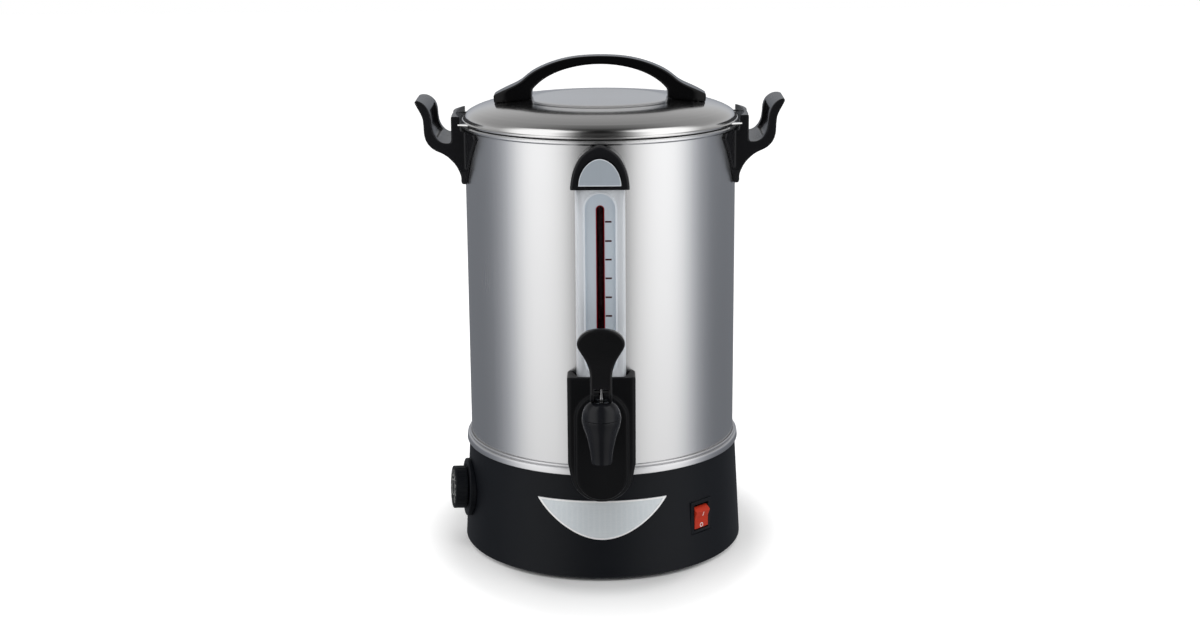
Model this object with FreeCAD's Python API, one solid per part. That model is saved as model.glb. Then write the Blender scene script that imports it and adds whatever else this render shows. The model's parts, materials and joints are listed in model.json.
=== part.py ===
import FreeCAD, Part
import math
import os

# Electric hot-drink urn: a steel tank on a plastic base, with a sight gauge and a lever tap in front.
# Millimetres. The origin is on the tank's axis, on the surface that the urn stands on.
# +Z is up, the tap faces -Y. An azimuth is measured from the front, towards +X.

# Tank
tank_radius = 125.0
tank_wall = 0.8
tank_height = 301.0
rim_out = 3.0
rim_height = 4.4
rim_round = 1.4
floor_rise = 11.0
floor_sheet = 0.8
floor_flange = 8.0

# Base
foot_stand = 2.5
base_height = 100.5
base_flare_bottom = 7.4
base_flare_top = 1.8
base_wall = 2.5
base_edge = 1.2
tank_sink = 2.0
ledge_reach = 8.0
cover_recess = 5.5
cover_sheet = 2.5
boss_radius = 5.0
boss_height = 24.0
boss_inset = 7.0
boss_azimuths = (30.0, 150.0, 210.0, 330.0)
foot_radius = 10.0
foot_inset = 22.0
foot_azimuths = (45.0, 135.0, 225.0, 315.0)
vent_count = 14
vent_width = 4.0
vent_inner = 34.0
vent_outer = 70.0

# Trim ring round the foot of the tank
ring_out = 4.3
ring_height = 8.9
ring_overlap = 3.6
ring_sheet = 1.0

# Heating under the tank floor
plate_radius = 86.0
plate_thick = 3.5
element_radius = 68.0
element_tube = 4.0
element_bend = 12.0
element_gap_azimuth = 22.0
element_leg_drop = 14.0
stud_radius = 2.5
stud_ring = 94.0
stud_azimuths = (0.0, 120.0, 240.0)
nut_flats = 8.0
nut_height = 4.0
shield_radius = 101.0
shield_drop = 22.0
shield_sheet = 0.8
shield_lip = 5.0
cutout_radius = 8.0
cutout_height = 9.0

# Lid
lid_disc_radius = 66.0
lid_disc_step = 0.9
lid_rise = 21.4
lid_sheet = 0.8
bead_out = 3.0
bead_height = 2.4
bead_round = 0.8
seal_height = 1.0
seal_width = 3.8
seal_inset = 0.9
locating_gap = 2.0
locating_depth = 11.0
locating_sheet = 0.8
ear_sheet = 1.2
ear_gap = 1.5

# Lid handle
lid_handle_half = 97.5
lid_handle_rise = 38.3
lid_handle_strap = 7.6
lid_handle_depth = 22.0
lid_handle_foot = 30.0
lid_opening_half = 62.0
lid_foot_rise = 3.1
lid_screw_place = 80.0
lid_screw_length = 11.0

# Side handles
grip_width = 78.0
grip_floor_drop = 14.8
grip_foot_drop = 39.8
grip_round = 1.0
grip_recess_half = 28.0
grip_recess_low = 3.0
tip_drop_rear = 4.6
tip_reach_rear = 4.0
post_rise = 9.0
post_inner_gap = 7.5
wing_thick = 3.0
wing_half_top = 61.0
wing_half_foot = 28.5
handle_screw_spread = 18.0
handle_screw_drop = 24.0

# Sight gauge
cover_half = 19.5
cover_flare = 4.8
cover_wall = 1.5
cover_into_cap = 5.0
window_half = 13.3
window_drop = 3.7
slot_half = 3.75
slot_drop = 10.3
scale_sheet = 1.2
tube_radius = 4.0
tube_wall = 1.2
bush_wall = 1.4
bush_height = 7.0
backing_side_gap = 0.5
backing_wall = 1.1
gauge_back_gap = 1.4

# Gauge cap
cap_side = 1.3
cap_height = 39.0
cap_over_rim = 3.3
cap_step = 4.0
cap_wall = 2.0
cap_round = 2.2
inlay_half = 18.7
inlay_height = 24.9
inlay_lift = 2.9
inlay_sheet = 1.0
inlay_sink = 0.6
arch_power = 1.9
arch_steps = 7

# Tap housing
housing_half = 30.2
housing_step = 5.0
housing_wall = 2.4
housing_above = 39.5
housing_taper = 2.9
housing_round = 3.5
capsule_half = 23.2
capsule_raise = 3.0
capsule_above = 25.5
capsule_round = 1.4

# Tap
shank_rise = 44.0
shank_radius = 8.0
shank_bore = 5.0
shank_block = 11.0
shank_inside = 13.0
shank_nut_flats = 24.0
shank_nut_height = 6.0
gasket_thick = 1.5
tap_out = 46.0
tap_flange_radius = 13.5
tap_flange_thick = 3.0
tap_body_radius = 17.3
tap_seam_rise = 11.0
tap_seat_drop = 6.0
tap_spout_drop = 29.6
tap_spout_radius = 9.2
spout_bore = 5.5
bonnet_height = 15.5
bonnet_top_radius = 9.6
bonnet_bore = 6.5
bonnet_roof = 4.5
bonnet_skirt = 4.5
stem_radius = 2.2
running_gap = 0.05
cup_radius = 8.2
chamber_gap = 0.8
cup_height = 7.0
collar_gap = 0.3
collar_height = 1.5
spring_wire = 0.5
spring_turns = 6.0
pin_radius = 1.5
pin_above_bonnet = 8.4
cam_lift_per_radian = 3.4
lever_open_degrees = 70.0
lever_half = 9.5
lever_slot_half = 6.5
lever_cheek_gap = 0.1
lever_length = 58.2
paddle_half = 20.6

# Thermostat and its knob
knob_azimuth = -78.0
knob_drop = 48.2
knob_radius = 20.2
knob_thick = 11.7
knob_gap = 0.5
knob_lip = 2.4
bezel_margin = 7.2
bezel_proud = 3.6
knob_shaft_radius = 3.0
thermostat_width = 40.0
thermostat_height = 34.0
thermostat_depth = 24.0
thermostat_screw_half = 14.0
bulb_radius = 3.0
bulb_length = 56.0
capillary_radius = 0.8

# Switch
switch_azimuth = 44.4
switch_drop = 55.1
switch_half_width = 13.5
switch_half_height = 15.5
switch_window_half_width = 9.2
switch_window_half_height = 12.1
switch_body_depth = 25.0
switch_plate = 2.2
rocker_end_gap = 1.8
rocker_valley = 7.0
rocker_tilt = 10.0
rocker_end_step = 5.4
rocker_end_slope = 3.1
rocker_low_step = 4.5
rocker_low_slope = 0.6
trunnion_radius = 1.5

# Power inlet at the back
inlet_azimuth = 180.0
inlet_drop = 47.0
inlet_half_width = 12.5
inlet_half_height = 25.0
inlet_plate = 2.5
inlet_body_half_width = 10.0
inlet_body_half_height = 13.5
inlet_depth = 19.5
socket_half_width = 7.8
socket_half_height = 11.9
socket_depth = 17.0
inlet_screw_half = 20.0

# Nameplate
plate_half = 58.3
plate_height = 36.0
plate_drop = 27.2
plate_thick_out = 0.9
plate_rim = 1.4
plate_rim_raise = 0.4

# Fits
clear = 0.1
wide_clear = 0.3
lead_radius = 1.3
lead_bend = 5.0
tab_reach = 7.0
switch_tab_z = 7.0

V = FreeCAD.Vector
UP = V(0, 0, 1)
ORIGIN = V(0, 0, 0)

base_top_z = foot_stand + base_height
tank_seat_z = base_top_z - tank_sink
floor_z = tank_seat_z + floor_rise
floor_under_z = floor_z - floor_sheet
rim_z = tank_seat_z + tank_height
rim_bottom_z = rim_z - rim_height
cover_top_z = foot_stand + cover_recess + cover_sheet
cover_bottom_z = foot_stand + cover_recess
tank_inner = tank_radius - tank_wall
shank_z = floor_z + shank_rise
tap_y = -(tank_radius + tap_out)
bush_radius = tube_radius + bush_wall
cover_proud = gauge_back_gap + 2 * bush_radius + clear + scale_sheet + cover_wall
gauge_front = -(tank_radius + cover_proud)
scale_back = gauge_front + cover_wall + scale_sheet
tube_y = scale_back + clear + bush_radius
backing_half = tube_radius + backing_side_gap + backing_wall
cover_foot_half = cover_half + cover_flare
cap_half = cover_foot_half + cap_side
cap_front = gauge_front - cap_step
housing_front = gauge_front - housing_step
housing_top_z = shank_z + housing_above
nameplate_top_z = base_top_z - plate_drop
housing_bottom_z = nameplate_top_z + 4.0
capsule_front = housing_front - capsule_raise
cap_top_z = rim_bottom_z + cap_over_rim
cap_bottom_z = cap_top_z - cap_height
window_top_z = cap_bottom_z - window_drop
slot_top_z = window_top_z - slot_drop
tube_bottom_z = shank_z + 16.0
tube_top_z = slot_top_z + 7.0
plate_bottom_z = floor_under_z - plate_thick
element_z = plate_bottom_z - element_tube
shield_z = floor_z - shield_drop
element_leg_end = shield_z - element_leg_drop
bead_bottom_z = rim_z + seal_height
bead_top_z = bead_bottom_z + bead_height
lid_top_z = rim_z + lid_rise
seat_z = shank_z - tap_seat_drop
seam_z = shank_z + tap_seam_rise
bonnet_top_z = seam_z + bonnet_height
pin_z = bonnet_top_z + pin_above_bonnet
tap_chamber_radius = cup_radius + chamber_gap
collar_radius = bonnet_bore - collar_gap
knob_z = base_top_z - knob_drop
knob_face_radius = knob_radius - knob_lip
bezel_radius = knob_radius + bezel_margin
switch_z = base_top_z - switch_drop
rocker_half_width = switch_window_half_width - wide_clear
rocker_half_height = switch_window_half_height - rocker_end_gap
inlet_z = base_top_z - inlet_drop


def base_radius(z):
    """Outer radius of the tapered base at height z."""
    share = (z - foot_stand) / base_height
    return tank_radius + base_flare_bottom + share * (base_flare_top - base_flare_bottom)


def polygon(points):
    return Part.Face(Part.makePolygon(list(points) + [points[0]]))


def revolved(points):
    """Solid of revolution about Z, from (radius, z) points."""
    return polygon([V(r, 0, z) for r, z in points]).revolve(ORIGIN, UP, 360)


def cylinder(radius, z0, z1, x=0.0, y=0.0):
    return Part.makeCylinder(radius, z1 - z0, V(x, y, z0), UP)


def tube(outer, inner, z0, z1, x=0.0, y=0.0):
    return cylinder(outer, z0, z1, x, y).cut(cylinder(inner, z0 - 1, z1 + 1, x, y))


def rod_y(radius, y0, y1, x=0.0, z=0.0):
    """Cylinder along Y, from y0 (the front) to y1."""
    return Part.makeCylinder(radius, y1 - y0, V(x, y0, z), V(0, 1, 0))


def box(x0, x1, y0, y1, z0, z1):
    return Part.makeBox(x1 - x0, y1 - y0, z1 - z0, V(x0, y0, z0))


def plate_xz(wire, y0, y1):
    """Solid between y0 and y1 with the outline of a wire that lies in the plane y = 0."""
    face = Part.Face(wire)
    face.translate(V(0, y0, 0))
    return face.extrude(V(0, y1 - y0, 0))


def wire_of(edges):
    return Part.Wire(Part.__sortEdges__(edges))


def line(a, b):
    return Part.makeLine(a, b)


def arc(a, middle, b):
    return Part.Arc(a, middle, b).toShape()


def spline(points):
    curve = Part.BSplineCurve()
    curve.interpolate(list(points))
    return curve.toShape()


def turned(shape, azimuth):
    """A copy of a front-facing shape, turned about the tank's axis to its azimuth."""
    copy = shape.copy()
    copy.rotate(ORIGIN, UP, azimuth)
    return copy


def on_knob_wall(shape):
    """A front-facing shape, tipped square to the sloping base wall and turned to the knob's azimuth."""
    copy = shape.copy()
    copy.rotate(V(0, -knob_base, knob_z), V(1, 0, 0), -knob_tip)
    return turned(copy, knob_azimuth)


def knob_wall_point(x, y, z):
    """The world point of a front-facing one that is tipped and turned with the knob."""
    hub = V(0, -knob_base, knob_z)
    tipped = hub + FreeCAD.Rotation(V(1, 0, 0), -knob_tip).multVec(V(x, y, z) - hub)
    return FreeCAD.Rotation(UP, knob_azimuth).multVec(tipped)


def mirrored_x(shape):
    return shape.mirror(ORIGIN, V(1, 0, 0))


def fused(shapes):
    whole = shapes[0]
    for shape in shapes[1:]:
        whole = whole.fuse(shape)
    return whole.removeSplitter()


def soften(shape, radius, chosen):
    """Fillet the edges that a test picks out by the edge and its middle point."""
    edges = []
    for edge in shape.Edges:
        middle = edge.valueAt((edge.FirstParameter + edge.LastParameter) / 2)
        if chosen(edge, middle):
            edges.append(edge)
    return shape.makeFillet(radius, edges)


def hex_prism(flats, height, base, axis):
    """Hexagonal nut blank whose base is centred on a point."""
    corner = flats / math.sqrt(3)
    points = []
    for k in range(6):
        a = math.radians(60 * k + 30)
        points.append(V(corner * math.cos(a), corner * math.sin(a), 0))
    prism = polygon(points).extrude(V(0, 0, height))
    prism.Placement = FreeCAD.Placement(base, FreeCAD.Rotation(UP, axis))
    return prism


def stadium(half, z0, z1):
    """Upright outline in the plane y = 0 with half-round ends."""
    top = V(half, 0, z1 - half)
    top_left = V(-half, 0, z1 - half)
    low = V(half, 0, z0 + half)
    low_left = V(-half, 0, z0 + half)
    return wire_of([
        arc(top, V(0, 0, z1), top_left),
        line(top_left, low_left),
        arc(low_left, V(0, 0, z0), low),
        line(low, top),
    ])


def arch(half, z0, z1):
    """Upright outline in the plane y = 0 with a flat bottom and a crown a little fuller than a parabola."""
    right = []
    for k in range(arch_steps):
        share = math.sin(math.pi / 2 * k / arch_steps)
        width = (1 - share ** arch_power) ** (1 / arch_power)
        right.append(V(half * width, 0, z0 + (z1 - z0) * share))
    left = [V(-p.x, 0, p.z) for p in reversed(right)]
    return wire_of([spline(right + [V(0, 0, z1)] + left), line(left[-1], right[0])])


def base_envelope(extra):
    """The base's outer form as a full solid, grown by a clearance."""
    return revolved([
        (0, foot_stand - 5),
        (base_radius(foot_stand - 5) + extra, foot_stand - 5),
        (base_radius(base_top_z) + extra, base_top_z),
        (0, base_top_z),
    ])


def tank_envelope(extra):
    """The tank wall's outer form as a full solid, grown by a clearance."""
    return cylinder(tank_radius + extra, 0, rim_z + 60)


def ring_envelope(extra):
    low = base_top_z - ring_overlap
    return cylinder(tank_radius + ring_out + extra, low - extra, low + ring_height + extra)


def save(name, *solids):
    shape = solids[0] if len(solids) == 1 else Part.makeCompound(list(solids))
    shape.exportStep("parts/" + name + ".step")
    print(name, len(shape.Solids), round(shape.Volume, 1), shape.isValid())


def pan_screw(head_radius, head_height, radius, length):
    """Screw along +Z: the head's top is at z = 0 and the shank's end at z = head + length."""
    head = Part.makeCylinder(head_radius, head_height)
    head = head.makeFillet(head_height * 0.4, [head.Edges[2]])
    shank = Part.makeCylinder(radius, length, V(0, 0, head_height))
    return head.fuse(shank)


def placed(shape, at, axis):
    copy = shape.copy()
    copy.Placement = FreeCAD.Placement(at, FreeCAD.Rotation(UP, axis))
    return copy


# Tank

def make_tank_shell():
    r = tank_radius
    out = r + rim_out
    wall = [
        (tank_inner, tank_seat_z),
        (r, tank_seat_z),
        (r, rim_bottom_z),
        (out - rim_round, rim_bottom_z),
        (out, rim_bottom_z + rim_round),
        (out, rim_z - rim_round),
        (out - rim_round, rim_z),
        (tank_inner + rim_round * 0.5, rim_z),
        (tank_inner, rim_z - rim_round * 0.5),
    ]
    shell = revolved(wall)
    shell = shell.cut(rod_y(shank_radius + clear, -r - 5, -r + 5, 0, shank_z))
    shell = shell.cut(rod_y(cap_screw_radius + clear, -r - 5, -r + 5, 0, cap_screw_z))
    for side in (-1, 1):
        for y in (-handle_screw_spread, handle_screw_spread):
            start = V(side * (r - 15), y, handle_screw_z)
            shell = shell.cut(Part.makeCylinder(stud_radius + clear, 20, start, V(side, 0, 0)))
    return shell


def make_tank_floor():
    outer = tank_inner - running_gap
    low = floor_z - floor_flange
    return revolved([
        (0, floor_z),
        (outer - 1.5, floor_z),
        (outer, floor_z - 1.5),
        (outer, low),
        (outer - floor_sheet, low),
        (outer - floor_sheet, floor_z - 1.5 - floor_sheet * 0.4),
        (outer - 1.5 - floor_sheet * 0.4, floor_under_z),
        (0, floor_under_z),
    ])


def make_trim_ring():
    r = tank_radius + clear
    low = base_top_z - ring_overlap
    high = low + ring_height
    out = tank_radius + ring_out
    s = ring_sheet
    return revolved([
        (r, high - s),
        (r, high),
        (r + 1.4, high),
        (out - 0.4, high - ring_height * 0.42),
        (out, low + 0.4),
        (out - 0.4, low),
        (out - s, low),
        (out - s - 0.3, high - ring_height * 0.42 - s * 0.5),
        (r + 0.9, high - s),
    ])


# Base

def pad(half_width, z_low, z_high, inner_y):
    """Flat-backed block through the base wall, at the front azimuth."""
    return box(-half_width, half_width, -(tank_radius + 20), inner_y, z_low, z_high)


def make_base_shell():
    bottom_r = base_radius(foot_stand)
    top_r = base_radius(base_top_z)
    ledge_top = tank_seat_z
    ledge_low = ledge_top - base_wall
    groove = tank_radius + wide_clear
    shell = revolved([
        (bottom_r - base_edge, foot_stand),
        (base_radius(foot_stand + base_edge), foot_stand + base_edge),
        (top_r, base_top_z),
        (groove, base_top_z),
        (groove, ledge_top),
        (tank_radius - ledge_reach, ledge_top),
        (tank_radius - ledge_reach, ledge_low),
        (base_radius(ledge_low) - base_wall, ledge_low),
        (bottom_r - base_wall, foot_stand),
    ])
    additions = []
    boss_ring = bottom_r - base_wall - boss_inset
    for azimuth in boss_azimuths:
        boss = cylinder(boss_radius, cover_top_z, cover_top_z + boss_height, 0, -boss_ring)
        rib = box(-1.5, 1.5, -base_radius(cover_top_z + boss_height) + 0.5 * base_wall, -boss_ring,
                  cover_top_z, cover_top_z + boss_height)
        additions.append(turned(boss.fuse(rib), azimuth))
    pads = [
        on_knob_wall(pad(thermostat_width / 2 + 2, knob_z - thermostat_height / 2 - 2,
                         knob_z + thermostat_height / 2 + 2, thermostat_front)),
        turned(pad(switch_half_width + 3, switch_z - switch_half_height - 3,
                   switch_z + switch_half_height + 3, switch_seat + 3.5), switch_azimuth),
        turned(pad(inlet_half_width + 3, inlet_z - inlet_half_height - 3,
                   inlet_z + inlet_half_height + 3, inlet_seat + 3.5), inlet_azimuth),
    ]
    inside_wall = base_envelope(-base_wall * 0.4)
    additions += [block.common(inside_wall) for block in pads]
    for piece in additions:
        shell = shell.fuse(piece)

    cuts = []
    for azimuth in boss_azimuths:
        cuts.append(turned(cylinder(cover_screw_radius + running_gap, cover_top_z - 1,
                                    cover_top_z + boss_height - 4, 0, -boss_ring), azimuth))
    far = -(tank_radius + 20)
    knob_cuts = [rod_y(knob_shaft_radius + 1.0, far, thermostat_front + 5, 0, knob_z)]
    for side in (-1, 1):
        x = side * thermostat_screw_half
        knob_cuts.append(rod_y(thermostat_screw_radius + clear, far, thermostat_front + 5, x, knob_z))
        knob_cuts.append(rod_y(thermostat_head_radius + clear, far, thermostat_head_y + clear, x, knob_z))
    for cut in knob_cuts:
        cuts.append(on_knob_wall(cut))
    pocket = box(-switch_half_width - clear, switch_half_width + clear, far, switch_seat,
                 switch_z - switch_half_height - clear, switch_z + switch_half_height + clear)
    through = box(-switch_body_half_width - clear, switch_body_half_width + clear, far, switch_seat + 10,
                  switch_z - switch_body_half_height - clear, switch_z + switch_body_half_height + clear)
    cuts.append(turned(pocket.fuse(through), switch_azimuth))
    pocket = box(-inlet_half_width - clear, inlet_half_width + clear, far, inlet_seat,
                 inlet_z - inlet_half_height - clear, inlet_z + inlet_half_height + clear)
    through = box(-inlet_body_half_width - clear, inlet_body_half_width + clear, far, inlet_seat + 10,
                  inlet_z - inlet_body_half_height - clear, inlet_z + inlet_body_half_height + clear)
    pocket = pocket.fuse(through)
    for side in (-1, 1):
        pocket = pocket.fuse(rod_y(inlet_screw_radius + running_gap, inlet_seat - 1,
                                   inlet_seat + inlet_screw_length, 0, inlet_z + side * inlet_screw_half))
    cuts.append(turned(pocket, inlet_azimuth))
    for cut in cuts:
        shell = shell.cut(cut)
    return shell


def make_bottom_cover():
    radius = base_radius(cover_bottom_z) - base_wall - wide_clear
    cover = cylinder(radius, cover_bottom_z, cover_top_z)
    slot = box(-vent_width / 2, vent_width / 2, -vent_outer, -vent_inner, cover_bottom_z - 1, cover_top_z + 1)
    for end in (vent_inner, vent_outer):
        slot = slot.fuse(cylinder(vent_width / 2, cover_bottom_z - 1, cover_top_z + 1, 0, -end))
    for k in range(vent_count):
        cover = cover.cut(turned(slot, 360.0 * (k + 0.5) / vent_count))
    boss_ring = base_radius(foot_stand) - base_wall - boss_inset
    holes = [(boss_ring, cover_screw_radius + clear, azimuth) for azimuth in boss_azimuths]
    holes += [(foot_ring, foot_stem_radius + clear, azimuth) for azimuth in foot_azimuths]
    holes += [(stud_ring, stud_radius + clear, azimuth) for azimuth in stud_azimuths]
    for ring, radius, azimuth in holes:
        cover = cover.cut(turned(cylinder(radius, cover_bottom_z - 1, cover_top_z + 1, 0, -ring), azimuth))
    return cover


def make_cover_screws():
    boss_ring = base_radius(foot_stand) - base_wall - boss_inset
    screw = pan_screw(cover_screw_head, cover_screw_head_height, cover_screw_radius, cover_sheet + 16.0)
    screw.translate(V(0, -boss_ring, cover_bottom_z - cover_screw_head_height))
    return [turned(screw, azimuth) for azimuth in boss_azimuths]


def make_feet():
    foot = Part.makeCone(foot_radius - 1.0, foot_radius, cover_bottom_z, V(0, -foot_ring, 0), UP)
    foot = foot.fuse(cylinder(foot_stem_radius, cover_bottom_z - 1, cover_top_z + 2.4, 0, -foot_ring))
    barb = Part.makeCone(foot_stem_radius + 1.2, foot_stem_radius - 0.4, 2.0,
                         V(0, -foot_ring, cover_top_z + 0.4), UP)
    foot = foot.fuse(barb)
    return [turned(foot, azimuth) for azimuth in foot_azimuths]


def nameplate_wire(inset):
    """Half-moon outline in the plane y = 0: a straight top edge and one bowed lower edge."""
    half = plate_half - 2.2 * inset
    top = nameplate_top_z - inset
    low = nameplate_top_z - plate_height + inset
    shoulder = V(half * 0.62, 0, low + (top - low) * 0.36)
    shoulder_left = V(-shoulder.x, 0, shoulder.z)
    ends = (V(-half, 0, top), V(half, 0, top))
    curve = spline([ends[1], shoulder, V(0, 0, low), shoulder_left, ends[0]])
    return wire_of([line(ends[0], ends[1]), curve])


def make_nameplate():
    far = -(tank_radius + 30)
    body = plate_xz(nameplate_wire(0), far, -tank_radius * 0.6)
    outer = base_envelope(clear + plate_thick_out + plate_rim_raise).cut(base_envelope(clear))
    plate = body.common(outer)
    middle = plate_xz(nameplate_wire(plate_rim), far, -tank_radius * 0.6)
    hollow = base_envelope(clear + plate_thick_out + 5).cut(base_envelope(clear + plate_thick_out))
    return plate.cut(middle.common(hollow))


# Heating

def make_heating_plate():
    return cylinder(plate_radius, plate_bottom_z, floor_under_z)


def element_end(side):
    """Place and direction of one end of the ring element: side is -1 or 1."""
    azimuth = math.radians(180 - side * element_gap_azimuth)
    place = V(element_radius * math.sin(azimuth), -element_radius * math.cos(azimuth), element_z)
    along = V(math.cos(azimuth), math.sin(azimuth), 0) * side
    return place, along


def element_leg(side):
    place, along = element_end(side)
    return place + along * element_bend


def make_element():
    start = -(180 - element_gap_azimuth)
    circle = Part.makeCircle(element_tube, V(0, -element_radius, element_z), V(1, 0, 0))
    section = Part.Face(Part.Wire(circle))
    section.rotate(ORIGIN, UP, start)
    ring = section.revolve(ORIGIN, UP, 2 * (180 - element_gap_azimuth))
    pieces = [ring]
    for side in (-1, 1):
        place, along = element_end(side)
        circle = Part.Face(Part.Wire(Part.makeCircle(element_tube, place, along)))
        pivot = place + V(0, 0, -element_bend)
        pieces.append(circle.revolve(pivot, along.cross(V(0, 0, -1)), 90))
        leg = element_leg(side)
        pieces.append(cylinder(element_tube, element_leg_end, element_z - element_bend, leg.x, leg.y))
    return fused(pieces)


def make_element_terminals():
    """Ceramic bead and blade at each cold end."""
    solids = []
    for side in (-1, 1):
        leg = element_leg(side)
        bead = cylinder(element_tube - 0.8, element_leg_end - 3, element_leg_end, leg.x, leg.y)
        blade = box(leg.x - 3.15, leg.x + 3.15, leg.y - 0.4, leg.y + 0.4,
                    element_leg_end - 15, element_leg_end - 3)
        solids.append(bead.fuse(blade))
    return solids


def make_tie_studs():
    length_low = cover_bottom_z - nut_height - 0.6
    stud = cylinder(stud_radius, length_low, floor_under_z, 0, -stud_ring)
    return [turned(stud, azimuth) for azimuth in stud_azimuths]


def make_stud_nuts():
    nuts = []
    for z in (cover_bottom_z - nut_height, shield_z - nut_height):
        nut = hex_prism(nut_flats, nut_height, V(0, -stud_ring, z), UP)
        nut = nut.cut(cylinder(stud_radius + running_gap, z - 1, z + nut_height + 1, 0, -stud_ring))
        nuts += [turned(nut, azimuth) for azimuth in stud_azimuths]
    return nuts


def make_heat_shield():
    low = shield_z - shield_lip
    shield = revolved([
        (0, shield_z),
        (0, shield_z + shield_sheet),
        (shield_radius, shield_z + shield_sheet),
        (shield_radius, low),
        (shield_radius - shield_sheet, low),
        (shield_radius - shield_sheet, shield_z),
    ])
    for azimuth in stud_azimuths:
        hole = cylinder(stud_radius + clear, shield_z - 1, shield_z + 3, 0, -stud_ring)
        shield = shield.cut(turned(hole, azimuth))
    for side in (-1, 1):
        leg = element_leg(side)
        shield = shield.cut(cylinder(element_tube + 2, shield_z - 1, shield_z + 3, leg.x, leg.y))
    for x in (-lead_hole_x, lead_hole_x):
        shield = shield.cut(cylinder(lead_radius + 1.7, shield_z - 1, shield_z + 3, x, 0))
    return shield


def make_cutout():
    """Bimetal cut-out that senses the heating plate."""
    top = plate_bottom_z
    cap = cylinder(cutout_radius + 0.8, top - 2.5, top)
    body = cylinder(cutout_radius, top - cutout_height, top - 2.5)
    whole = cap.fuse(body)
    for x in (-1, 1):
        tab = box(x * lead_hole_x - 0.4, x * lead_hole_x + 0.4, -3.1, 3.1,
                  top - cutout_height - 6, top - cutout_height)
        whole = whole.fuse(tab)
    return whole


def make_cutout_bracket():
    """Spring-steel strap that holds the cut-out against the plate."""
    top = plate_bottom_z
    low = top - cutout_height + 2.4
    half = cutout_radius + 3
    reach = 24.0
    strap = box(-reach, reach, -half, half, low - 0.8, low)
    wall = box(reach - 0.8, reach, -half, half, low - 0.8, top)
    foot = box(reach - 0.8, reach + 8, -half, half, top - 0.8, top)
    for piece in (wall, foot):
        strap = strap.fuse(piece).fuse(mirrored_x(piece))
    return strap.cut(cylinder(cutout_radius + clear, low - 5, low + 1)).removeSplitter()


# Lid

def lid_curve(drop):
    """The domed outside of the lid from the raised disc to the rim, moved inward by a distance."""
    dome = [
        (0.536, 0.950),
        (0.656, 0.905),
        (0.776, 0.820),
        (0.880, 0.680),
        (0.952, 0.515),
        (0.9936, 0.340),
        (1.0064, 0.205),
    ]
    start = lid_disc_radius + lid_disc_step
    points = []
    for share_r, share_z in dome:
        r = start + (share_r - dome[0][0]) / (dome[-1][0] - dome[0][0]) * (tank_radius + 0.8 - start)
        z = rim_z + share_z * lid_rise
        points.append((r, z))
    moved = []
    for k, (r, z) in enumerate(points):
        before = points[max(k - 1, 0)]
        after = points[min(k + 1, len(points) - 1)]
        dr = after[0] - before[0]
        dz = after[1] - before[1]
        size = math.hypot(dr, dz)
        moved.append(V(r + drop * dz / size, 0, z - drop * dr / size))
    return moved


def lid_profile_edges(drop):
    """Edges from the axis to the end of the dome, at a depth below the outside."""
    dome = lid_curve(drop)
    top = lid_top_z - drop
    disc_end = V(lid_disc_radius, 0, top)
    return [line(V(0, 0, top), disc_end), line(disc_end, dome[0]), spline(dome)], dome[-1]


def lid_envelope(extra):
    """Full solid under the lid's outside, grown by a clearance."""
    edges, end = lid_profile_edges(-extra)
    low = rim_z - 5
    corner = V(end.x, 0, low)
    edges += [line(end, corner), line(corner, V(0, 0, low)), line(V(0, 0, low), V(0, 0, lid_top_z + extra))]
    return Part.Face(wire_of(edges)).revolve(ORIGIN, UP, 360)


def ear_points():
    """Plan of one locating ear: it stands beside the front end of the right-hand handle post."""
    edge = -(grip_width / 2 + ear_gap)
    reach = math.sqrt(post_inner ** 2 - edge ** 2) + 2.0
    near = math.sqrt((tank_radius + bead_out - 1.0) ** 2 - (edge - 7) ** 2)
    return [(near - 0.5, edge - 7), (reach, edge - 3), (reach, edge), (near, edge)]


def make_lid_shell():
    top_edges, top_end = lid_profile_edges(0)
    under_edges, under_end = lid_profile_edges(lid_sheet)
    out = tank_radius + bead_out
    b = bead_round
    flange_inner = tank_inner - locating_gap
    bead = [
        top_end,
        V(top_end.x + 0.5, 0, bead_top_z),
        V(out - b, 0, bead_top_z),
        V(out, 0, bead_top_z - b),
        V(out, 0, bead_bottom_z + b),
        V(out - b, 0, bead_bottom_z),
        V(flange_inner, 0, bead_bottom_z),
        V(flange_inner, 0, bead_bottom_z + lid_sheet),
        V(under_end.x - 0.3, 0, bead_bottom_z + lid_sheet),
        under_end,
    ]
    edges = top_edges + under_edges
    for a, b_point in zip(bead[:-1], bead[1:]):
        edges.append(line(a, b_point))
    edges.append(line(V(0, 0, lid_top_z), V(0, 0, lid_top_z - lid_sheet)))
    shell = Part.Face(wire_of(edges)).revolve(ORIGIN, UP, 360)
    z0 = bead_bottom_z + (bead_height - ear_sheet) / 2
    for side in (-1, 1):
        for end in (-1, 1):
            plan = [V(side * x, -end * y, z0) for x, y in ear_points()]
            shell = shell.fuse(polygon(plan).extrude(V(0, 0, ear_sheet)))
    for side in (-1, 1):
        x = side * lid_screw_place
        shell = shell.cut(cylinder(stud_radius + clear, lid_top_z - 10, lid_top_z + 5, x, 0))
    return shell


def make_locating_ring():
    outer = tank_inner - locating_gap
    top = bead_bottom_z + lid_sheet
    return tube(outer, outer - locating_sheet, top - locating_depth, top)


def make_lid_seal():
    outer = tank_radius + bead_out - seal_inset
    return tube(outer, outer - seal_width, rim_z + running_gap, bead_bottom_z)


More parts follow.
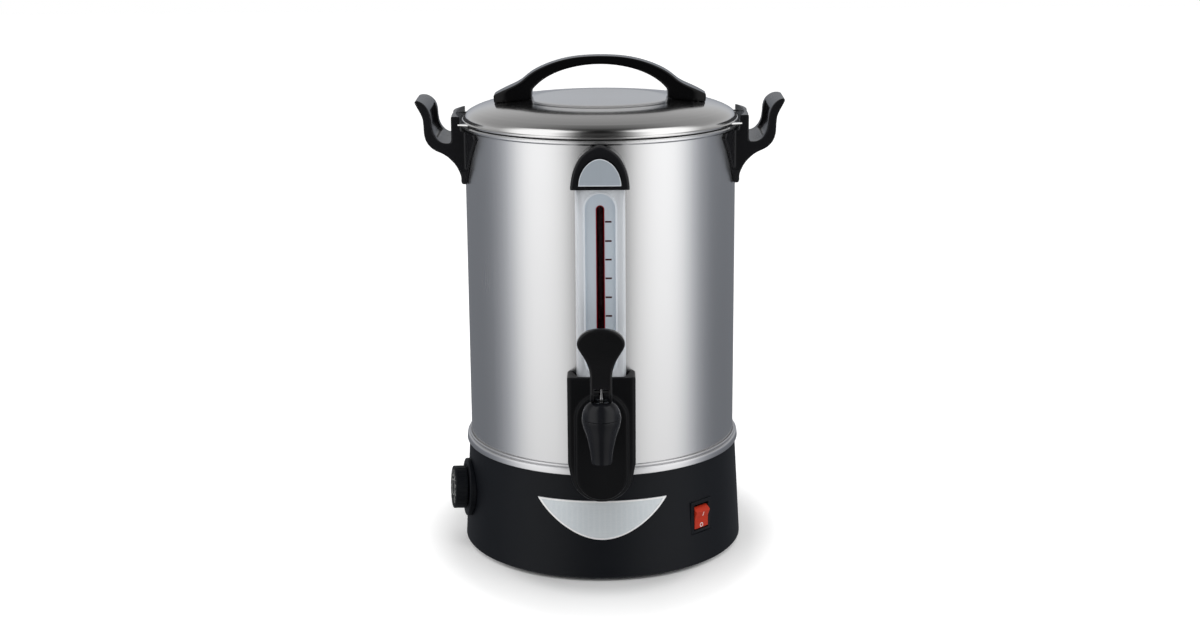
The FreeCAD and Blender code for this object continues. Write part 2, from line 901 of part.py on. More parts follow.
def make_lid_handle():
    crown = lid_top_z + lid_handle_rise
    under = crown - lid_handle_strap
    half = lid_handle_half
    gap = lid_opening_half
    seat = lid_top_z - 15
    foot_top = lid_top_z + lid_foot_rise
    outer = [
        V(half, 0, foot_top),
        V(half - 17, 0, foot_top + 8.3),
        V(half - 25, 0, crown - 22.6),
        V(half - 32, 0, crown - 17.0),
        V(half - 41.5, 0, crown - 11.2),
        V(half - 55.5, 0, crown - 5.6),
        V(half - 69.5, 0, crown - 2.1),
        V(0, 0, crown),
    ]
    inner = [
        V(gap, 0, under - 23.0),
        V(gap - 7, 0, under - 16.0),
        V(gap - 20, 0, under - 8.2),
        V(gap - 41, 0, under - 1.9),
        V(0, 0, under),
    ]
    outer += [V(-p.x, 0, p.z) for p in reversed(outer[:-1])]
    inner += [V(-p.x, 0, p.z) for p in reversed(inner[:-1])]
    edges = [spline(outer), spline(inner)]
    for side in (-1, 1):
        edges.append(line(V(side * half, 0, foot_top), V(side * (half - 1.5), 0, seat)))
        edges.append(line(V(side * (half - 1.5), 0, seat), V(side * gap, 0, seat)))
        edges.append(line(V(side * gap, 0, seat), V(side * gap, 0, under - 23.0)))
    profile = plate_xz(wire_of(edges), -lid_handle_foot, lid_handle_foot)
    deep = lid_handle_foot / 2
    slim = lid_handle_depth / 2
    plan = []
    for side in (-1, 1):
        plan.append(spline([
            V(-half - 1, side * deep * 0.72, 0),
            V(-half + 10, side * deep, 0),
            V(-gap, side * deep * 0.9, 0),
            V(-gap * 0.55, side * slim, 0),
            V(0, side * slim * 0.92, 0),
            V(gap * 0.55, side * slim, 0),
            V(gap, side * deep * 0.9, 0),
            V(half - 10, side * deep, 0),
            V(half + 1, side * deep * 0.72, 0),
        ]))
        plan.append(line(V(side * (half + 1), -deep * 0.72, 0), V(side * (half + 1), deep * 0.72, 0)))
    footprint = Part.Face(wire_of(plan))
    footprint.translate(V(0, 0, seat - 5))
    handle = profile.common(footprint.extrude(V(0, 0, crown - seat + 20)))
    handle = handle.cut(lid_envelope(clear))
    handle = soften(handle, 2.2, lambda edge, middle: edge.Length > 100 and middle.z > under - 3)
    for side in (-1, 1):
        x = side * lid_screw_place
        handle = handle.cut(cylinder(stud_radius + running_gap, seat - 5, lid_screw_top, x, 0))
    return handle


def lid_screw_place_z():
    """Height of the lid's underside at the handle screws."""
    edges, _ = lid_profile_edges(lid_sheet)
    column = line(V(lid_screw_place - 6, 0, lid_top_z - 30), V(lid_screw_place - 6, 0, lid_top_z + 10))
    column_out = line(V(lid_screw_place + 6, 0, lid_top_z - 30), V(lid_screw_place + 6, 0, lid_top_z + 10))
    heights = [edges[2].distToShape(c)[1][0][0].z for c in (column, column_out)]
    return min(heights)


def make_lid_screws():
    screw = pan_screw(4.6, 2.6, stud_radius, lid_screw_length)
    screws = []
    for side in (-1, 1):
        screws.append(placed(screw, V(side * lid_screw_place, 0, lid_washer_low - 2.6), UP))
    return screws


def make_lid_washers():
    return [tube(6.0, stud_radius + clear, lid_washer_low, lid_washer_low + 1.2, side * lid_screw_place, 0)
            for side in (-1, 1)]


# Side handles

def hook_wire(y, tip_drop, tip_reach):
    """Section of the hooked grip in a plane across it; the curled tip can be lowered and drawn out."""
    r = tank_radius
    floor = rim_z - grip_floor_drop
    low = floor - grip_foot_drop
    outer = [
        V(r + 42.3 + tip_reach, y, floor + 36.9 - tip_drop),
        V(r + 39.0 + tip_reach * 0.5, y, floor + 30.4 - tip_drop),
        V(r + 35.6, y, floor + 23.0 - tip_drop * 0.6),
        V(r + 34.6, y, floor + 11.4),
        V(r + 32.6, y, floor + 1.6),
        V(r + 26.2, y, floor - 5.9),
        V(r + 17.8, y, floor - 10.1),
        V(r + 10.0, y, floor - 16.0),
        V(r + 3.8, y, floor - 25.1),
        V(r + 2.0, y, floor - 34.4),
    ]
    inner = [
        V(r + 41.0 + tip_reach, y, floor + 38.8 - tip_drop),
        V(r + 34.5 + tip_reach * 0.5, y, floor + 36.0 - tip_drop * 0.4),
        V(r + 29.6, y, floor + 29.6 - tip_drop * 0.3),
        V(r + 27.6, y, floor + 20.2 - tip_drop * 0.2),
        V(r + 26.2, y, floor + 9.8),
        V(r + 21.0, y, floor + 2.0),
        V(r + 11.0, y, floor),
    ]
    back = r - 30
    heel = V(r + 1.0, y, low)
    return wire_of([
        spline(outer),
        arc(outer[-1], V(r + 1.9, y, low + 1.4), heel),
        line(heel, V(back, y, low)),
        line(V(back, y, low), V(back, y, floor)),
        line(V(back, y, floor), inner[-1]),
        spline(inner),
        line(inner[0], outer[0]),
    ])


def make_side_handle():
    """The right-hand handle: hook, post, bracket and the wings against the tank, in one moulding."""
    r = tank_radius
    half = grip_width / 2
    floor = rim_z - grip_floor_drop
    foot = floor - grip_foot_drop
    wing_top = rim_bottom_z - wide_clear
    back = r - 30
    hook = Part.makeLoft([hook_wire(-half, 0, 0), hook_wire(half, tip_drop_rear, tip_reach_rear)], True, True)
    hook = soften(hook, grip_round, lambda edge, middle: abs(middle.y) < 1 and middle.x > r + 38)
    hook = hook.cut(polygon([
        V(r + 16, -grip_recess_half, floor + grip_recess_low),
        V(r + 25.8, -grip_recess_half, floor + grip_recess_low),
        V(r + 30.6, -grip_recess_half, floor + 10.5),
        V(r + 33.0, -grip_recess_half, floor + 28.0),
        V(r + 16, -grip_recess_half, floor + 28.0),
    ]).extrude(V(0, 2 * grip_recess_half, 0)))
    flanks = [
        V(back - 1, -wing_half_foot, foot - 1), V(back - 1, wing_half_foot, foot - 1),
        V(back - 1, wing_half_top, wing_top - 4), V(back - 1, wing_half_top, rim_z + 60),
        V(back - 1, -wing_half_top, rim_z + 60), V(back - 1, -wing_half_top, wing_top - 4),
    ]
    hook = hook.common(polygon(flanks).extrude(V(100, 0, 0)))

    post_outer = r + post_inner_gap + 2.3
    post_top = rim_z + post_rise
    plan = [
        arc(V(math.sqrt(post_inner ** 2 - half ** 2), -half, 0), V(post_inner, 0, 0),
            V(math.sqrt(post_inner ** 2 - (half + 1) ** 2), half + 1, 0)),
        line(V(math.sqrt(post_inner ** 2 - half ** 2), -half, 0), V(post_outer, -half, 0)),
        line(V(post_outer, -half, 0), V(post_outer + 0.6, 0, 0)),
        arc(V(post_outer + 0.6, 0, 0), V(post_outer - 1.2, half * 0.62, 0),
            V(math.sqrt(post_inner ** 2 - (half + 1) ** 2), half + 1, 0)),
    ]
    post = Part.Face(wire_of(plan))
    post.translate(V(0, 0, floor - 10))
    post = post.extrude(V(0, 0, post_top - floor + 10))
    block = box(back, post_outer, -half, half, floor - 12, rim_bottom_z - wide_clear)

    outline = [
        V(back, -wing_half_foot, foot), V(back, wing_half_foot, foot),
        V(back, wing_half_top, wing_top - 4), V(back, wing_half_top - 3, wing_top),
        V(back, -wing_half_top + 3, wing_top), V(back, -wing_half_top, wing_top - 4),
    ]
    wing = polygon(outline).extrude(V(70, 0, 0))
    wing = wing.common(cylinder(r + wing_thick, foot - 5, wing_top + 5))
    handle = fused([hook, block, post, wing])
    handle = handle.cut(tank_envelope(clear))
    handle = handle.cut(cylinder(r + rim_out + 0.6, rim_bottom_z - wide_clear, rim_z + 60))
    keep = box(r * 0.75, r + 60, -r, r, 0, rim_z + 60)
    handle = handle.common(keep)
    for y in (-handle_screw_spread, handle_screw_spread):
        hole = Part.makeCylinder(stud_radius + running_gap, handle_screw_reach + 1,
                                 V(r - 8, y, handle_screw_z), V(1, 0, 0))
        handle = handle.cut(hole)
    return handle


def make_handle_screws():
    """Pan-head screws, put in from inside the tank."""
    inside = math.sqrt(tank_inner ** 2 - (handle_screw_spread + 4.6) ** 2) - running_gap
    screw = pan_screw(4.6, 2.8, stud_radius, tank_radius - 8 + handle_screw_reach - inside)
    screws = []
    for side in (-1, 1):
        for y in (-handle_screw_spread, handle_screw_spread):
            screws.append(placed(screw, V(side * (inside - 2.8), y, handle_screw_z), V(side, 0, 0)))
    return screws


# Sight gauge

def gauge_outline(inset, z0, z1):
    """Channel section of the gauge cover, as a solid between two heights."""
    back = -tank_radius * 0.9
    foot = -(tank_radius + 1.0)
    front = gauge_front + inset
    half = cover_half - inset * 0.6
    outer = cover_foot_half - inset
    points = [
        V(-outer, back, z0), V(-outer, foot, z0), V(-half - 1.5, front + 2.0, z0), V(-half, front, z0),
        V(half, front, z0), V(half + 1.5, front + 2.0, z0), V(outer, foot, z0), V(outer, back, z0),
    ]
    return polygon(points).extrude(V(0, 0, z1 - z0))


def make_gauge_cover():
    low = housing_top_z - 7.5
    high = cap_bottom_z + cover_into_cap
    cover = gauge_outline(0, low, high).cut(gauge_outline(cover_wall, low - 1, high + 1))
    outline = stadium(window_half, housing_top_z + 0.8, window_top_z)
    window = plate_xz(outline, gauge_front - 5, gauge_front + 8)
    return cover.cut(window).cut(tank_envelope(clear))


def make_scale_plate():
    y0 = gauge_front + cover_wall
    half = cover_half - 2.6
    plate = box(-half, half, y0, y0 + scale_sheet, housing_top_z - 5, cap_bottom_z + 3)
    slot = plate_xz(stadium(slot_half, housing_top_z + 12, slot_top_z), y0 - 1, y0 + scale_sheet + 1)
    return plate.cut(slot)


def make_sight_tube():
    return tube(tube_radius, tube_radius - tube_wall, tube_bottom_z, tube_top_z, 0, tube_y)


def make_tube_bushes():
    """Silicone bushes that hold and seal the two ends of the sight tube."""
    bushes = []
    for z in (tube_bottom_z + 0.5, tube_top_z - bush_height - 0.5):
        bushes.append(tube(bush_radius, tube_radius + running_gap, z, z + bush_height, 0, tube_y))
    return bushes


def make_gauge_backing():
    y_back = -(tank_radius + wide_clear)
    y_front = scale_back + wide_clear
    low = tube_bottom_z + bush_height + 4
    high = tube_top_z - bush_height - 1.5
    channel = box(-backing_half, backing_half, y_front, y_back, low, high)
    inside = box(-backing_half + backing_wall, backing_half - backing_wall, y_front - 1,
                 tube_y + tube_radius + wide_clear, low - 1, high + 1)
    return channel.cut(inside)


def cap_outline(inset):
    return arch(cap_half - inset, cap_bottom_z + inset, cap_top_z - inset)


def make_gauge_cap():
    front = cap_front
    back = -tank_radius * 0.9
    cap = plate_xz(cap_outline(0), front, back)
    cap = soften(cap, cap_round, lambda edge, middle: middle.y < front + 0.01 and middle.z > cap_bottom_z + 1)
    hollow = plate_xz(cap_outline(cap_wall), front + cap_wall + 0.4, back + 1)
    cap = cap.cut(hollow)
    cap = cap.cut(gauge_outline(-clear, cap_bottom_z - 1, cap_bottom_z + cover_into_cap + clear))
    inlay = plate_xz(inlay_outline(-clear), front - 5, front + inlay_sink)
    cap = cap.cut(inlay)
    boss = rod_y(cap_screw_boss, front + 1.5, -tank_radius + 2, 0, cap_screw_z)
    cap = cap.fuse(boss)
    spigot = box(-bush_radius - 1.6, bush_radius + 1.6, scale_back + clear, back,
                 tube_top_z - bush_height - 0.5, cap_bottom_z + 6)
    web = box(-bush_radius - 1.6, bush_radius + 1.6, scale_back + clear, back,
              cap_bottom_z + 5, cap_screw_z)
    cap = cap.fuse(spigot).fuse(web)
    cap = cap.cut(cylinder(bush_radius + running_gap, 0, tube_top_z + 1.0, 0, tube_y))
    deep = -tank_radius - cap_screw_reach - 0.5
    cap = cap.cut(rod_y(cap_screw_radius + running_gap, deep, back + 1, 0, cap_screw_z))
    cap = cap.cut(cylinder(tank_radius + rim_out + wide_clear, rim_bottom_z - wide_clear, rim_z + 60))
    return cap.cut(tank_envelope(clear)).removeSplitter()


def inlay_outline(inset):
    low = cap_bottom_z + inlay_lift
    return arch(inlay_half - inset, low + inset, low + inlay_height - inset)


def make_gauge_inlay():
    return plate_xz(inlay_outline(0), cap_front + inlay_sink - inlay_sheet, cap_front + inlay_sink)


def make_cap_screw():
    head_y = -(tank_inner - 0.1)
    screw = pan_screw(4.0, 2.4, cap_screw_radius, tank_radius + cap_screw_reach - tank_inner)
    return placed(screw, V(0, head_y + 2.4, cap_screw_z), V(0, -1, 0))


# Tap housing

def housing_wire(inset):
    half = housing_half - inset
    lower = housing_half - housing_taper - inset
    top = housing_top_z - inset
    taper_top = base_top_z + 13.0
    taper_low = base_top_z - 2.0
    low = housing_bottom_z + inset
    return wire_of([
        line(V(-half, 0, top), V(half, 0, top)),
        line(V(half, 0, top), V(half, 0, taper_top)),
        line(V(half, 0, taper_top), V(lower, 0, taper_low)),
        arc(V(lower, 0, taper_low), V(0, 0, low), V(-lower, 0, taper_low)),
        line(V(-lower, 0, taper_low), V(-half, 0, taper_top)),
        line(V(-half, 0, taper_top), V(-half, 0, top)),
    ])


def make_tap_housing():
    back = -tank_radius * 0.85
    shell = plate_xz(housing_wire(0), housing_front, back)
    shell = soften(shell, housing_round, lambda edge, middle: middle.y < housing_front + 0.01
                   and middle.z < housing_top_z - 1)
    capsule = plate_xz(stadium(capsule_half, housing_bottom_z + 3.4, shank_z + capsule_above),
                       capsule_front, housing_front + 1)
    capsule = soften(capsule, capsule_round, lambda edge, middle: middle.y < capsule_front + 0.01)
    shell = shell.fuse(capsule)
    hollow = plate_xz(housing_wire(housing_wall), housing_front + housing_wall, back + 1)
    shell = shell.cut(hollow)
    shell = shell.cut(gauge_outline(-clear, housing_top_z - housing_wall - 1, housing_top_z + 1))
    shell = shell.cut(rod_y(shank_radius + clear, capsule_front - 1, housing_front + 6, 0, shank_z))
    for envelope in (tank_envelope(clear), ring_envelope(wide_clear), base_envelope(clear)):
        shell = shell.cut(envelope)
    return shell.removeSplitter()


# Tap

def make_gauge_shank():
    """Threaded shank through the tank wall, with the upright socket of the sight tube."""
    y_inside = -(tank_radius - shank_inside)
    y_front = capsule_front - tap_socket_depth
    block_back = -(tank_radius + gasket_thick + clear)
    block_front = housing_front + housing_wall
    shank = rod_y(shank_radius, y_front, y_inside, 0, shank_z)
    block = rod_y(shank_block, block_front, block_back, 0, shank_z)
    socket = cylinder(bush_radius + 1.8, shank_z, tube_bottom_z + bush_height + 1.5, 0, tube_y)
    gasket_room = rod_y(shank_block + clear, block_back, -tank_radius + 6, 0, shank_z)
    socket = socket.cut(tank_envelope(clear)).cut(gasket_room)
    body = fused([shank, block, socket])
    body = body.cut(rod_y(shank_bore, y_front - 1, y_inside + 1, 0, shank_z))
    body = body.cut(cylinder(tube_radius - tube_wall, shank_z, tube_bottom_z + 2, 0, tube_y))
    return body.cut(cylinder(bush_radius + running_gap, tube_bottom_z, tube_bottom_z + 40, 0, tube_y))


def make_gaskets():
    outer_ring = rod_y(shank_block, -(tank_radius + gasket_thick), -tank_radius + 6, 0, shank_z)
    outer_ring = outer_ring.cut(tank_envelope(running_gap))
    inner_ring = rod_y(shank_block, -(tank_radius + 6), -gasket_inner_y, 0, shank_z)
    inner_ring = inner_ring.common(cylinder(tank_inner - running_gap, 0, rim_z))
    bore = rod_y(shank_radius + running_gap, -(tank_radius + 20), -tank_radius + 20, 0, shank_z)
    return [outer_ring.cut(bore), inner_ring.cut(bore)]


def make_shank_nut():
    nut = hex_prism(shank_nut_flats, shank_nut_height, V(0, -gasket_inner_y, shank_z), V(0, 1, 0))
    bore = rod_y(shank_radius + running_gap, -(tank_radius + 20), -tank_radius + 20, 0, shank_z)
    return nut.cut(bore)


def make_tap_body():
    low = shank_z - tap_spout_drop
    span = seam_z - low
    shares = [(0.0, 0.0), (0.22, 0.11), (0.37, 0.245), (0.56, 0.46), (0.75, 0.755), (0.9, 0.955), (1.0, 1.0)]
    outline = []
    for along, grow in shares:
        radius = tap_spout_radius + grow * (tap_body_radius - tap_spout_radius)
        outline.append(V(radius, 0, low + along * span))
    edges = [
        spline(outline),
        line(V(0, 0, low), outline[0]),
        line(outline[-1], V(0, 0, seam_z)),
        line(V(0, 0, seam_z), V(0, 0, low)),
    ]
    bulb = Part.Face(wire_of(edges)).revolve(ORIGIN, UP, 360)
    bulb.translate(V(0, tap_y, 0))
    neck = rod_y(shank_radius + 2.4, tap_y, capsule_front, 0, shank_z)
    flange = rod_y(tap_flange_radius, capsule_front - tap_flange_thick, capsule_front, 0, shank_z)
    flange = soften(flange, 1.0, lambda edge, middle: edge.Closed and middle.y < capsule_front - 1)
    body = fused([bulb, neck, flange])
    socket_end = capsule_front - tap_socket_depth - 0.2
    body = body.cut(rod_y(shank_radius + running_gap, socket_end, capsule_front + 1, 0, shank_z))
    body = body.cut(rod_y(shank_bore, tap_y, capsule_front, 0, shank_z))
    body = body.cut(cylinder(tap_chamber_radius, seat_z, seam_z + 1, 0, tap_y))
    return body.cut(cylinder(spout_bore, low - 1, seat_z + 1, 0, tap_y))


def make_bonnet():
    top = bonnet_top_z
    outline = [
        V(tap_body_radius, 0, seam_z),
        V(tap_body_radius - 0.7, 0, seam_z + bonnet_height * 0.31),
        V(tap_body_radius - 2.2, 0, seam_z + bonnet_height * 0.6),
        V(tap_body_radius - 4.9, 0, seam_z + bonnet_height * 0.85),
        V(bonnet_top_radius, 0, top),
    ]
    edges = [
        spline(outline),
        line(outline[-1], V(0, 0, top)),
        line(V(0, 0, top), V(0, 0, seam_z)),
        line(V(0, 0, seam_z), outline[0]),
    ]
    dome = Part.Face(wire_of(edges)).revolve(ORIGIN, UP, 360)
    dome.translate(V(0, tap_y, 0))
    skirt = cylinder(tap_chamber_radius - running_gap, seam_z - bonnet_skirt, seam_z + 1, 0, tap_y)
    bonnet = fused([dome, skirt])
    bonnet = bonnet.cut(cylinder(bonnet_bore, 0, top - bonnet_roof, 0, tap_y))
    return bonnet.cut(cylinder(stem_radius + running_gap, 0, top + 1, 0, tap_y))


def make_valve_stem():
    low = seat_z + 2.0
    top = pin_z + 3.2
    stem = cylinder(stem_radius, low, top, 0, tap_y)
    stem = soften(stem, 0.8, lambda edge, middle: edge.Closed and middle.z > top - 0.1)
    collar = cylinder(collar_radius, collar_z, collar_z + collar_height, 0, tap_y)
    stem = stem.fuse(collar)
    hole = Part.makeCylinder(pin_radius + running_gap, 20, V(-10, tap_y, pin_z), V(1, 0, 0))
    return stem.cut(hole)


def make_seat_cup():
    cup = cylinder(cup_radius, seat_z + running_gap, seat_z + cup_height, 0, tap_y)
    cup = soften(cup, 1.5, lambda edge, middle: edge.Closed and middle.z > seat_z + 2)
    return cup.cut(cylinder(stem_radius, seat_z + 2.0, seat_z + 20, 0, tap_y))


def make_valve_spring():
    low = collar_z + collar_height + spring_wire + running_gap
    high = bonnet_top_z - bonnet_roof - spring_wire - running_gap
    mean = (stem_radius + bonnet_bore) / 2
    helix = Part.makeHelix((high - low) / spring_turns, high - low, mean)
    circle = Part.Wire(Part.makeCircle(spring_wire, V(mean, 0, 0), V(0, 1, 0)))
    spring = Part.Wire(helix.Edges).makePipeShell([circle], True, True)
    spring.translate(V(0, tap_y, low))
    return spring


def cam_point(angle):
    """Point of the cam face that rests on the bonnet when the lever is tilted by an angle.

    The distance from the pin to the bonnet grows evenly with the angle, so the stem rises evenly too.
    """
    reach = pin_above_bonnet - lever_cheek_gap + cam_lift_per_radian * angle
    forward = reach * math.sin(angle) + cam_lift_per_radian * math.cos(angle)
    up = -reach * math.cos(angle) + cam_lift_per_radian * math.sin(angle)
    return V(0, tap_y - forward, pin_z + up)


def make_lever():
    last = math.radians(lever_open_degrees + 10)
    cam = [cam_point(last * k / 6) for k in range(7)]
    low = cam[0].z
    top = pin_z + lever_length
    rear = tap_y + 6.5
    side = [
        line(V(0, rear, low), cam[0]),
        spline(cam),
        spline([cam[-1], V(0, tap_y - 11.0, pin_z + 9), V(0, tap_y - 6.2, pin_z + 22),
                V(0, tap_y - 8.2, pin_z + 40), V(0, tap_y - 13.0, top + 3)]),
        line(V(0, tap_y - 13.0, top + 3), V(0, tap_y - 7.0, top + 3)),
        spline([V(0, tap_y - 7.0, top + 3), V(0, tap_y - 0.6, pin_z + 40), V(0, tap_y + 2.4, pin_z + 22),
                V(0, rear, pin_z + 5)]),
        line(V(0, rear, pin_z + 5), V(0, rear, low)),
    ]
    face = Part.Face(wire_of(side))
    face.translate(V(-paddle_half - 5, 0, 0))
    thick = face.extrude(V(2 * paddle_half + 10, 0, 0))

    widest = pin_z + lever_length * 0.772
    right = [
        V(lever_half, 0, pin_z + 13.0),
        V(lever_half + 1.6, 0, pin_z + 23.0),
        V(lever_half + 6.6, 0, pin_z + 33.6),
        V(paddle_half, 0, widest),
        V(paddle_half - 2.0, 0, top - 8.0),
        V(paddle_half - 7.0, 0, top - 3.2),
        V(paddle_half - 14.0, 0, top - 0.6),
        V(0, 0, top),
    ]
    crown = right + [V(-p.x, 0, p.z) for p in reversed(right[:-1])]
    edges = [
        spline(crown),
        line(V(lever_half, 0, pin_z + 13.0), V(lever_half, 0, low - 1)),
        line(V(lever_half, 0, low - 1), V(-lever_half, 0, low - 1)),
        line(V(-lever_half, 0, low - 1), V(-lever_half, 0, pin_z + 13.0)),
    ]
    front = plate_xz(wire_of(edges), tap_y - 30, tap_y + 30)
    lever = thick.common(front)
    lever = soften(lever, 1.8, lambda edge, middle: middle.z > pin_z + 14 and edge.Length > 20)
    slot = box(-lever_slot_half, lever_slot_half, tap_y - 40, tap_y + 40, low - 5, pin_z + 5.4)
    lever = lever.cut(slot)
    return lever.cut(Part.makeCylinder(pin_radius, 60, V(-30, tap_y, pin_z), V(1, 0, 0)))


def make_lever_pin():
    return Part.makeCylinder(pin_radius, 2 * lever_half - 0.4, V(-lever_half + 0.2, tap_y, pin_z), V(1, 0, 0))


# Thermostat

def make_knob_bezel():
    front = -(knob_base + bezel_proud)
    bezel = rod_y(bezel_radius, front, -(tank_radius - 10), 0, knob_z)
    bezel = soften(bezel, 1.0, lambda edge, middle: edge.Closed and middle.y < front + 0.1)
    bezel = bezel.cut(rod_y(hub_radius + wide_clear, front - 1, 0, 0, knob_z))
    dish = rod_y(knob_radius + 1.2, front - 1, front + 1.0, 0, knob_z)
    bezel = bezel.cut(dish)
    return on_knob_wall(bezel).cut(base_envelope(clear))


def make_knob():
    front = knob_back - knob_thick
    knob = rod_y(knob_radius, front, knob_back, 0, knob_z)
    knob = soften(knob, 0.9, lambda edge, middle: edge.Closed and middle.y < front + 0.1)
    recess = rod_y(knob_face_radius + running_gap, front - 1, front + 0.8, 0, knob_z)
    hub = rod_y(hub_radius, knob_back - 2, knob_back + hub_length, 0, knob_z)
    flutes = []
    for k in range(24):
        a = math.radians(15 * k)
        reach = knob_radius + 0.55
        x = reach * math.sin(a)
        z = knob_z + reach * math.cos(a)
        flutes.append(rod_y(0.9, front + 2.2, knob_back + 1, x, z))
    knob = knob.cut(recess).fuse(hub)
    for flute in flutes:
        knob = knob.cut(flute)
    knob = knob.cut(knob_shaft(front + knob_web, knob_back + 10, running_gap))
    return on_knob_wall(knob)


def make_knob_face():
    front = knob_back - knob_thick
    disc = rod_y(knob_face_radius, front - 0.1, front + 0.8, 0, knob_z)
    return on_knob_wall(disc)


def knob_shaft(y0, y1, extra):
    """Round shaft with one flat, grown by a clearance."""
    shaft = rod_y(knob_shaft_radius + extra, y0, y1, 0, knob_z)
    flat = knob_shaft_radius * 0.6 + extra
    return shaft.cut(box(-10, 10, y0 - 1, y1 + 1, knob_z + flat, knob_z + 10))


def make_thermostat_shaft():
    front = knob_back - knob_thick
    hub_end = knob_back + hub_length + clear
    d_end = knob_shaft(front + knob_web + clear, hub_end, 0)
    round_end = rod_y(knob_shaft_radius, hub_end, thermostat_front + 9, 0, knob_z)
    return on_knob_wall(d_end.fuse(round_end))


def make_thermostat_body():
    y0 = thermostat_front
    y1 = y0 + thermostat_depth
    half = thermostat_width / 2
    tall = thermostat_height / 2
    body = box(-half, half, y0, y1, knob_z - tall, knob_z + tall)
    body = soften(body, 2.0, lambda edge, middle: abs(middle.y - (y0 + y1) / 2) < 1)
    for x in (-9.0, 9.0):
        body = body.fuse(box(x - 3.1, x + 3.1, y1 - 1, y1 + tab_reach, knob_z + 5.6, knob_z + 6.4))
    body = body.cut(rod_y(knob_shaft_radius + running_gap, y0 - 1, y0 + 10, 0, knob_z))
    for side in (-1, 1):
        x = side * thermostat_screw_half
        body = body.cut(rod_y(thermostat_screw_radius + running_gap, y0 - 1, y0 + 9, x, knob_z))
    return on_knob_wall(body)


def make_thermostat_screws():
    length = thermostat_front + 8 - thermostat_head_y
    screw = pan_screw(thermostat_head_radius, 1.6, thermostat_screw_radius, length)
    screws = []
    for side in (-1, 1):
        at = V(side * thermostat_screw_half, thermostat_head_y - 1.6, knob_z)
        screws.append(on_knob_wall(placed(screw, at, V(0, 1, 0))))
    return screws


def bulb_place():
    """Middle of the sensing bulb, at the front azimuth."""
    return V(0, -bulb_ring, floor_under_z - bulb_radius - 0.4)


def make_bulb():
    """Sensing bulb under the tank floor and its capillary down to the thermostat."""
    centre = bulb_place()
    bulb = Part.makeCylinder(bulb_radius, bulb_length, centre + V(-bulb_length / 2, 0, 0), V(1, 0, 0))
    entry_y = thermostat_front + 9
    top = knob_z + thermostat_height / 2
    far = bulb_length / 2 + 9
    turn = FreeCAD.Rotation(UP, knob_azimuth)
    route = [
        turn.multVec(centre + V(bulb_length / 2 - 1, 0, 0)),
        turn.multVec(centre + V(far, 0, 0)),
        turn.multVec(V(far, -bulb_ring, top + 12)),
        knob_wall_point(8, entry_y, top + 12),
        knob_wall_point(8, entry_y, top),
    ]
    return turned(bulb, knob_azimuth).fuse(bent_tube(route, capillary_radius, 5.0))


def make_bulb_clips():
    centre = bulb_place()
    clips = []
    for x in (-16.0, 16.0):
        r = bulb_radius + 0.7
        strap = Part.makeCylinder(r, 6, V(x - 3, centre.y, centre.z), V(1, 0, 0))
        walls = box(x - 3, x + 3, centre.y - r, centre.y + r, centre.z, floor_under_z)
        ears = box(x - 3, x + 3, centre.y - r - 6, centre.y + r + 6, floor_under_z - 0.7, floor_under_z)
        clip = strap.fuse(walls).fuse(ears)
        hollow = Part.makeCylinder(bulb_radius + running_gap, 10, V(x - 5, centre.y, centre.z), V(1, 0, 0))
        bulb_half = bulb_radius + running_gap
        hollow = hollow.fuse(box(x - 4, x + 4, centre.y - bulb_half, centre.y + bulb_half, centre.z, floor_z))
        above = box(x - 4, x + 4, centre.y - 20, centre.y + 20, floor_under_z, floor_z)
        clips.append(turned(clip.cut(hollow).cut(above), knob_azimuth))
    return clips


# Switch

def make_switch_frame():
    plate = box(-switch_half_width, switch_half_width, switch_seat - switch_plate, switch_seat,
                switch_z - switch_half_height, switch_z + switch_half_height)
    plate = soften(plate, 0.7, lambda edge, middle: middle.y < switch_seat - switch_plate + 0.01)
    back = switch_seat + switch_body_depth
    body = box(-switch_body_half_width, switch_body_half_width, switch_seat - 1, back,
               switch_z - switch_body_half_height, switch_z + switch_body_half_height)
    frame = plate.fuse(body)
    cavity = box(-switch_window_half_width, switch_window_half_width,
                 switch_seat - switch_plate - 5, switch_pivot + 13,
                 switch_z - switch_window_half_height, switch_z + switch_window_half_height)
    frame = frame.cut(cavity)
    frame = frame.cut(Part.makeCylinder(trunnion_radius + running_gap, 2 * trunnion_reach + 0.4,
                                        V(-trunnion_reach - 0.2, switch_pivot, switch_z), V(1, 0, 0)))
    for z in (switch_z - switch_tab_z, switch_z + switch_tab_z):
        frame = frame.fuse(box(-3.1, 3.1, back - 1, back + tab_reach, z - 0.4, z + 0.4))
    return turned(frame, switch_azimuth)


def make_rocker():
    h = rocker_half_height
    rise = math.tan(math.radians(rocker_tilt))
    ridge_up = h - rocker_end_slope
    ridge = rocker_valley + ridge_up * rise
    ridge_down = h - rocker_low_slope
    low_ridge = rocker_valley + ridge_down * rise
    end = ridge - rocker_end_step
    low_end = low_ridge - rocker_low_step
    side = h * 0.86
    tail = 5.5
    outline = [
        (rocker_valley, 0), (ridge, ridge_up), (end, h), (0, side), (-tail, 3.0),
        (-tail, -3.0), (0, -side), (low_end, -h), (low_ridge, -ridge_down),
    ]
    points = [V(-rocker_half_width, switch_pivot - out, switch_z + up) for out, up in outline]
    rocker = polygon(points).extrude(V(2 * rocker_half_width, 0, 0))
    rocker = soften(rocker, 0.5, lambda edge, middle: middle.y < switch_pivot - low_end - 0.5)
    start = V(-trunnion_reach, switch_pivot, switch_z)
    rocker = rocker.fuse(Part.makeCylinder(trunnion_radius, 2 * trunnion_reach, start, V(1, 0, 0)))
    rocker.rotate(V(0, switch_pivot, switch_z), V(1, 0, 0), rocker_tilt)
    return turned(rocker, switch_azimuth)


# Power inlet

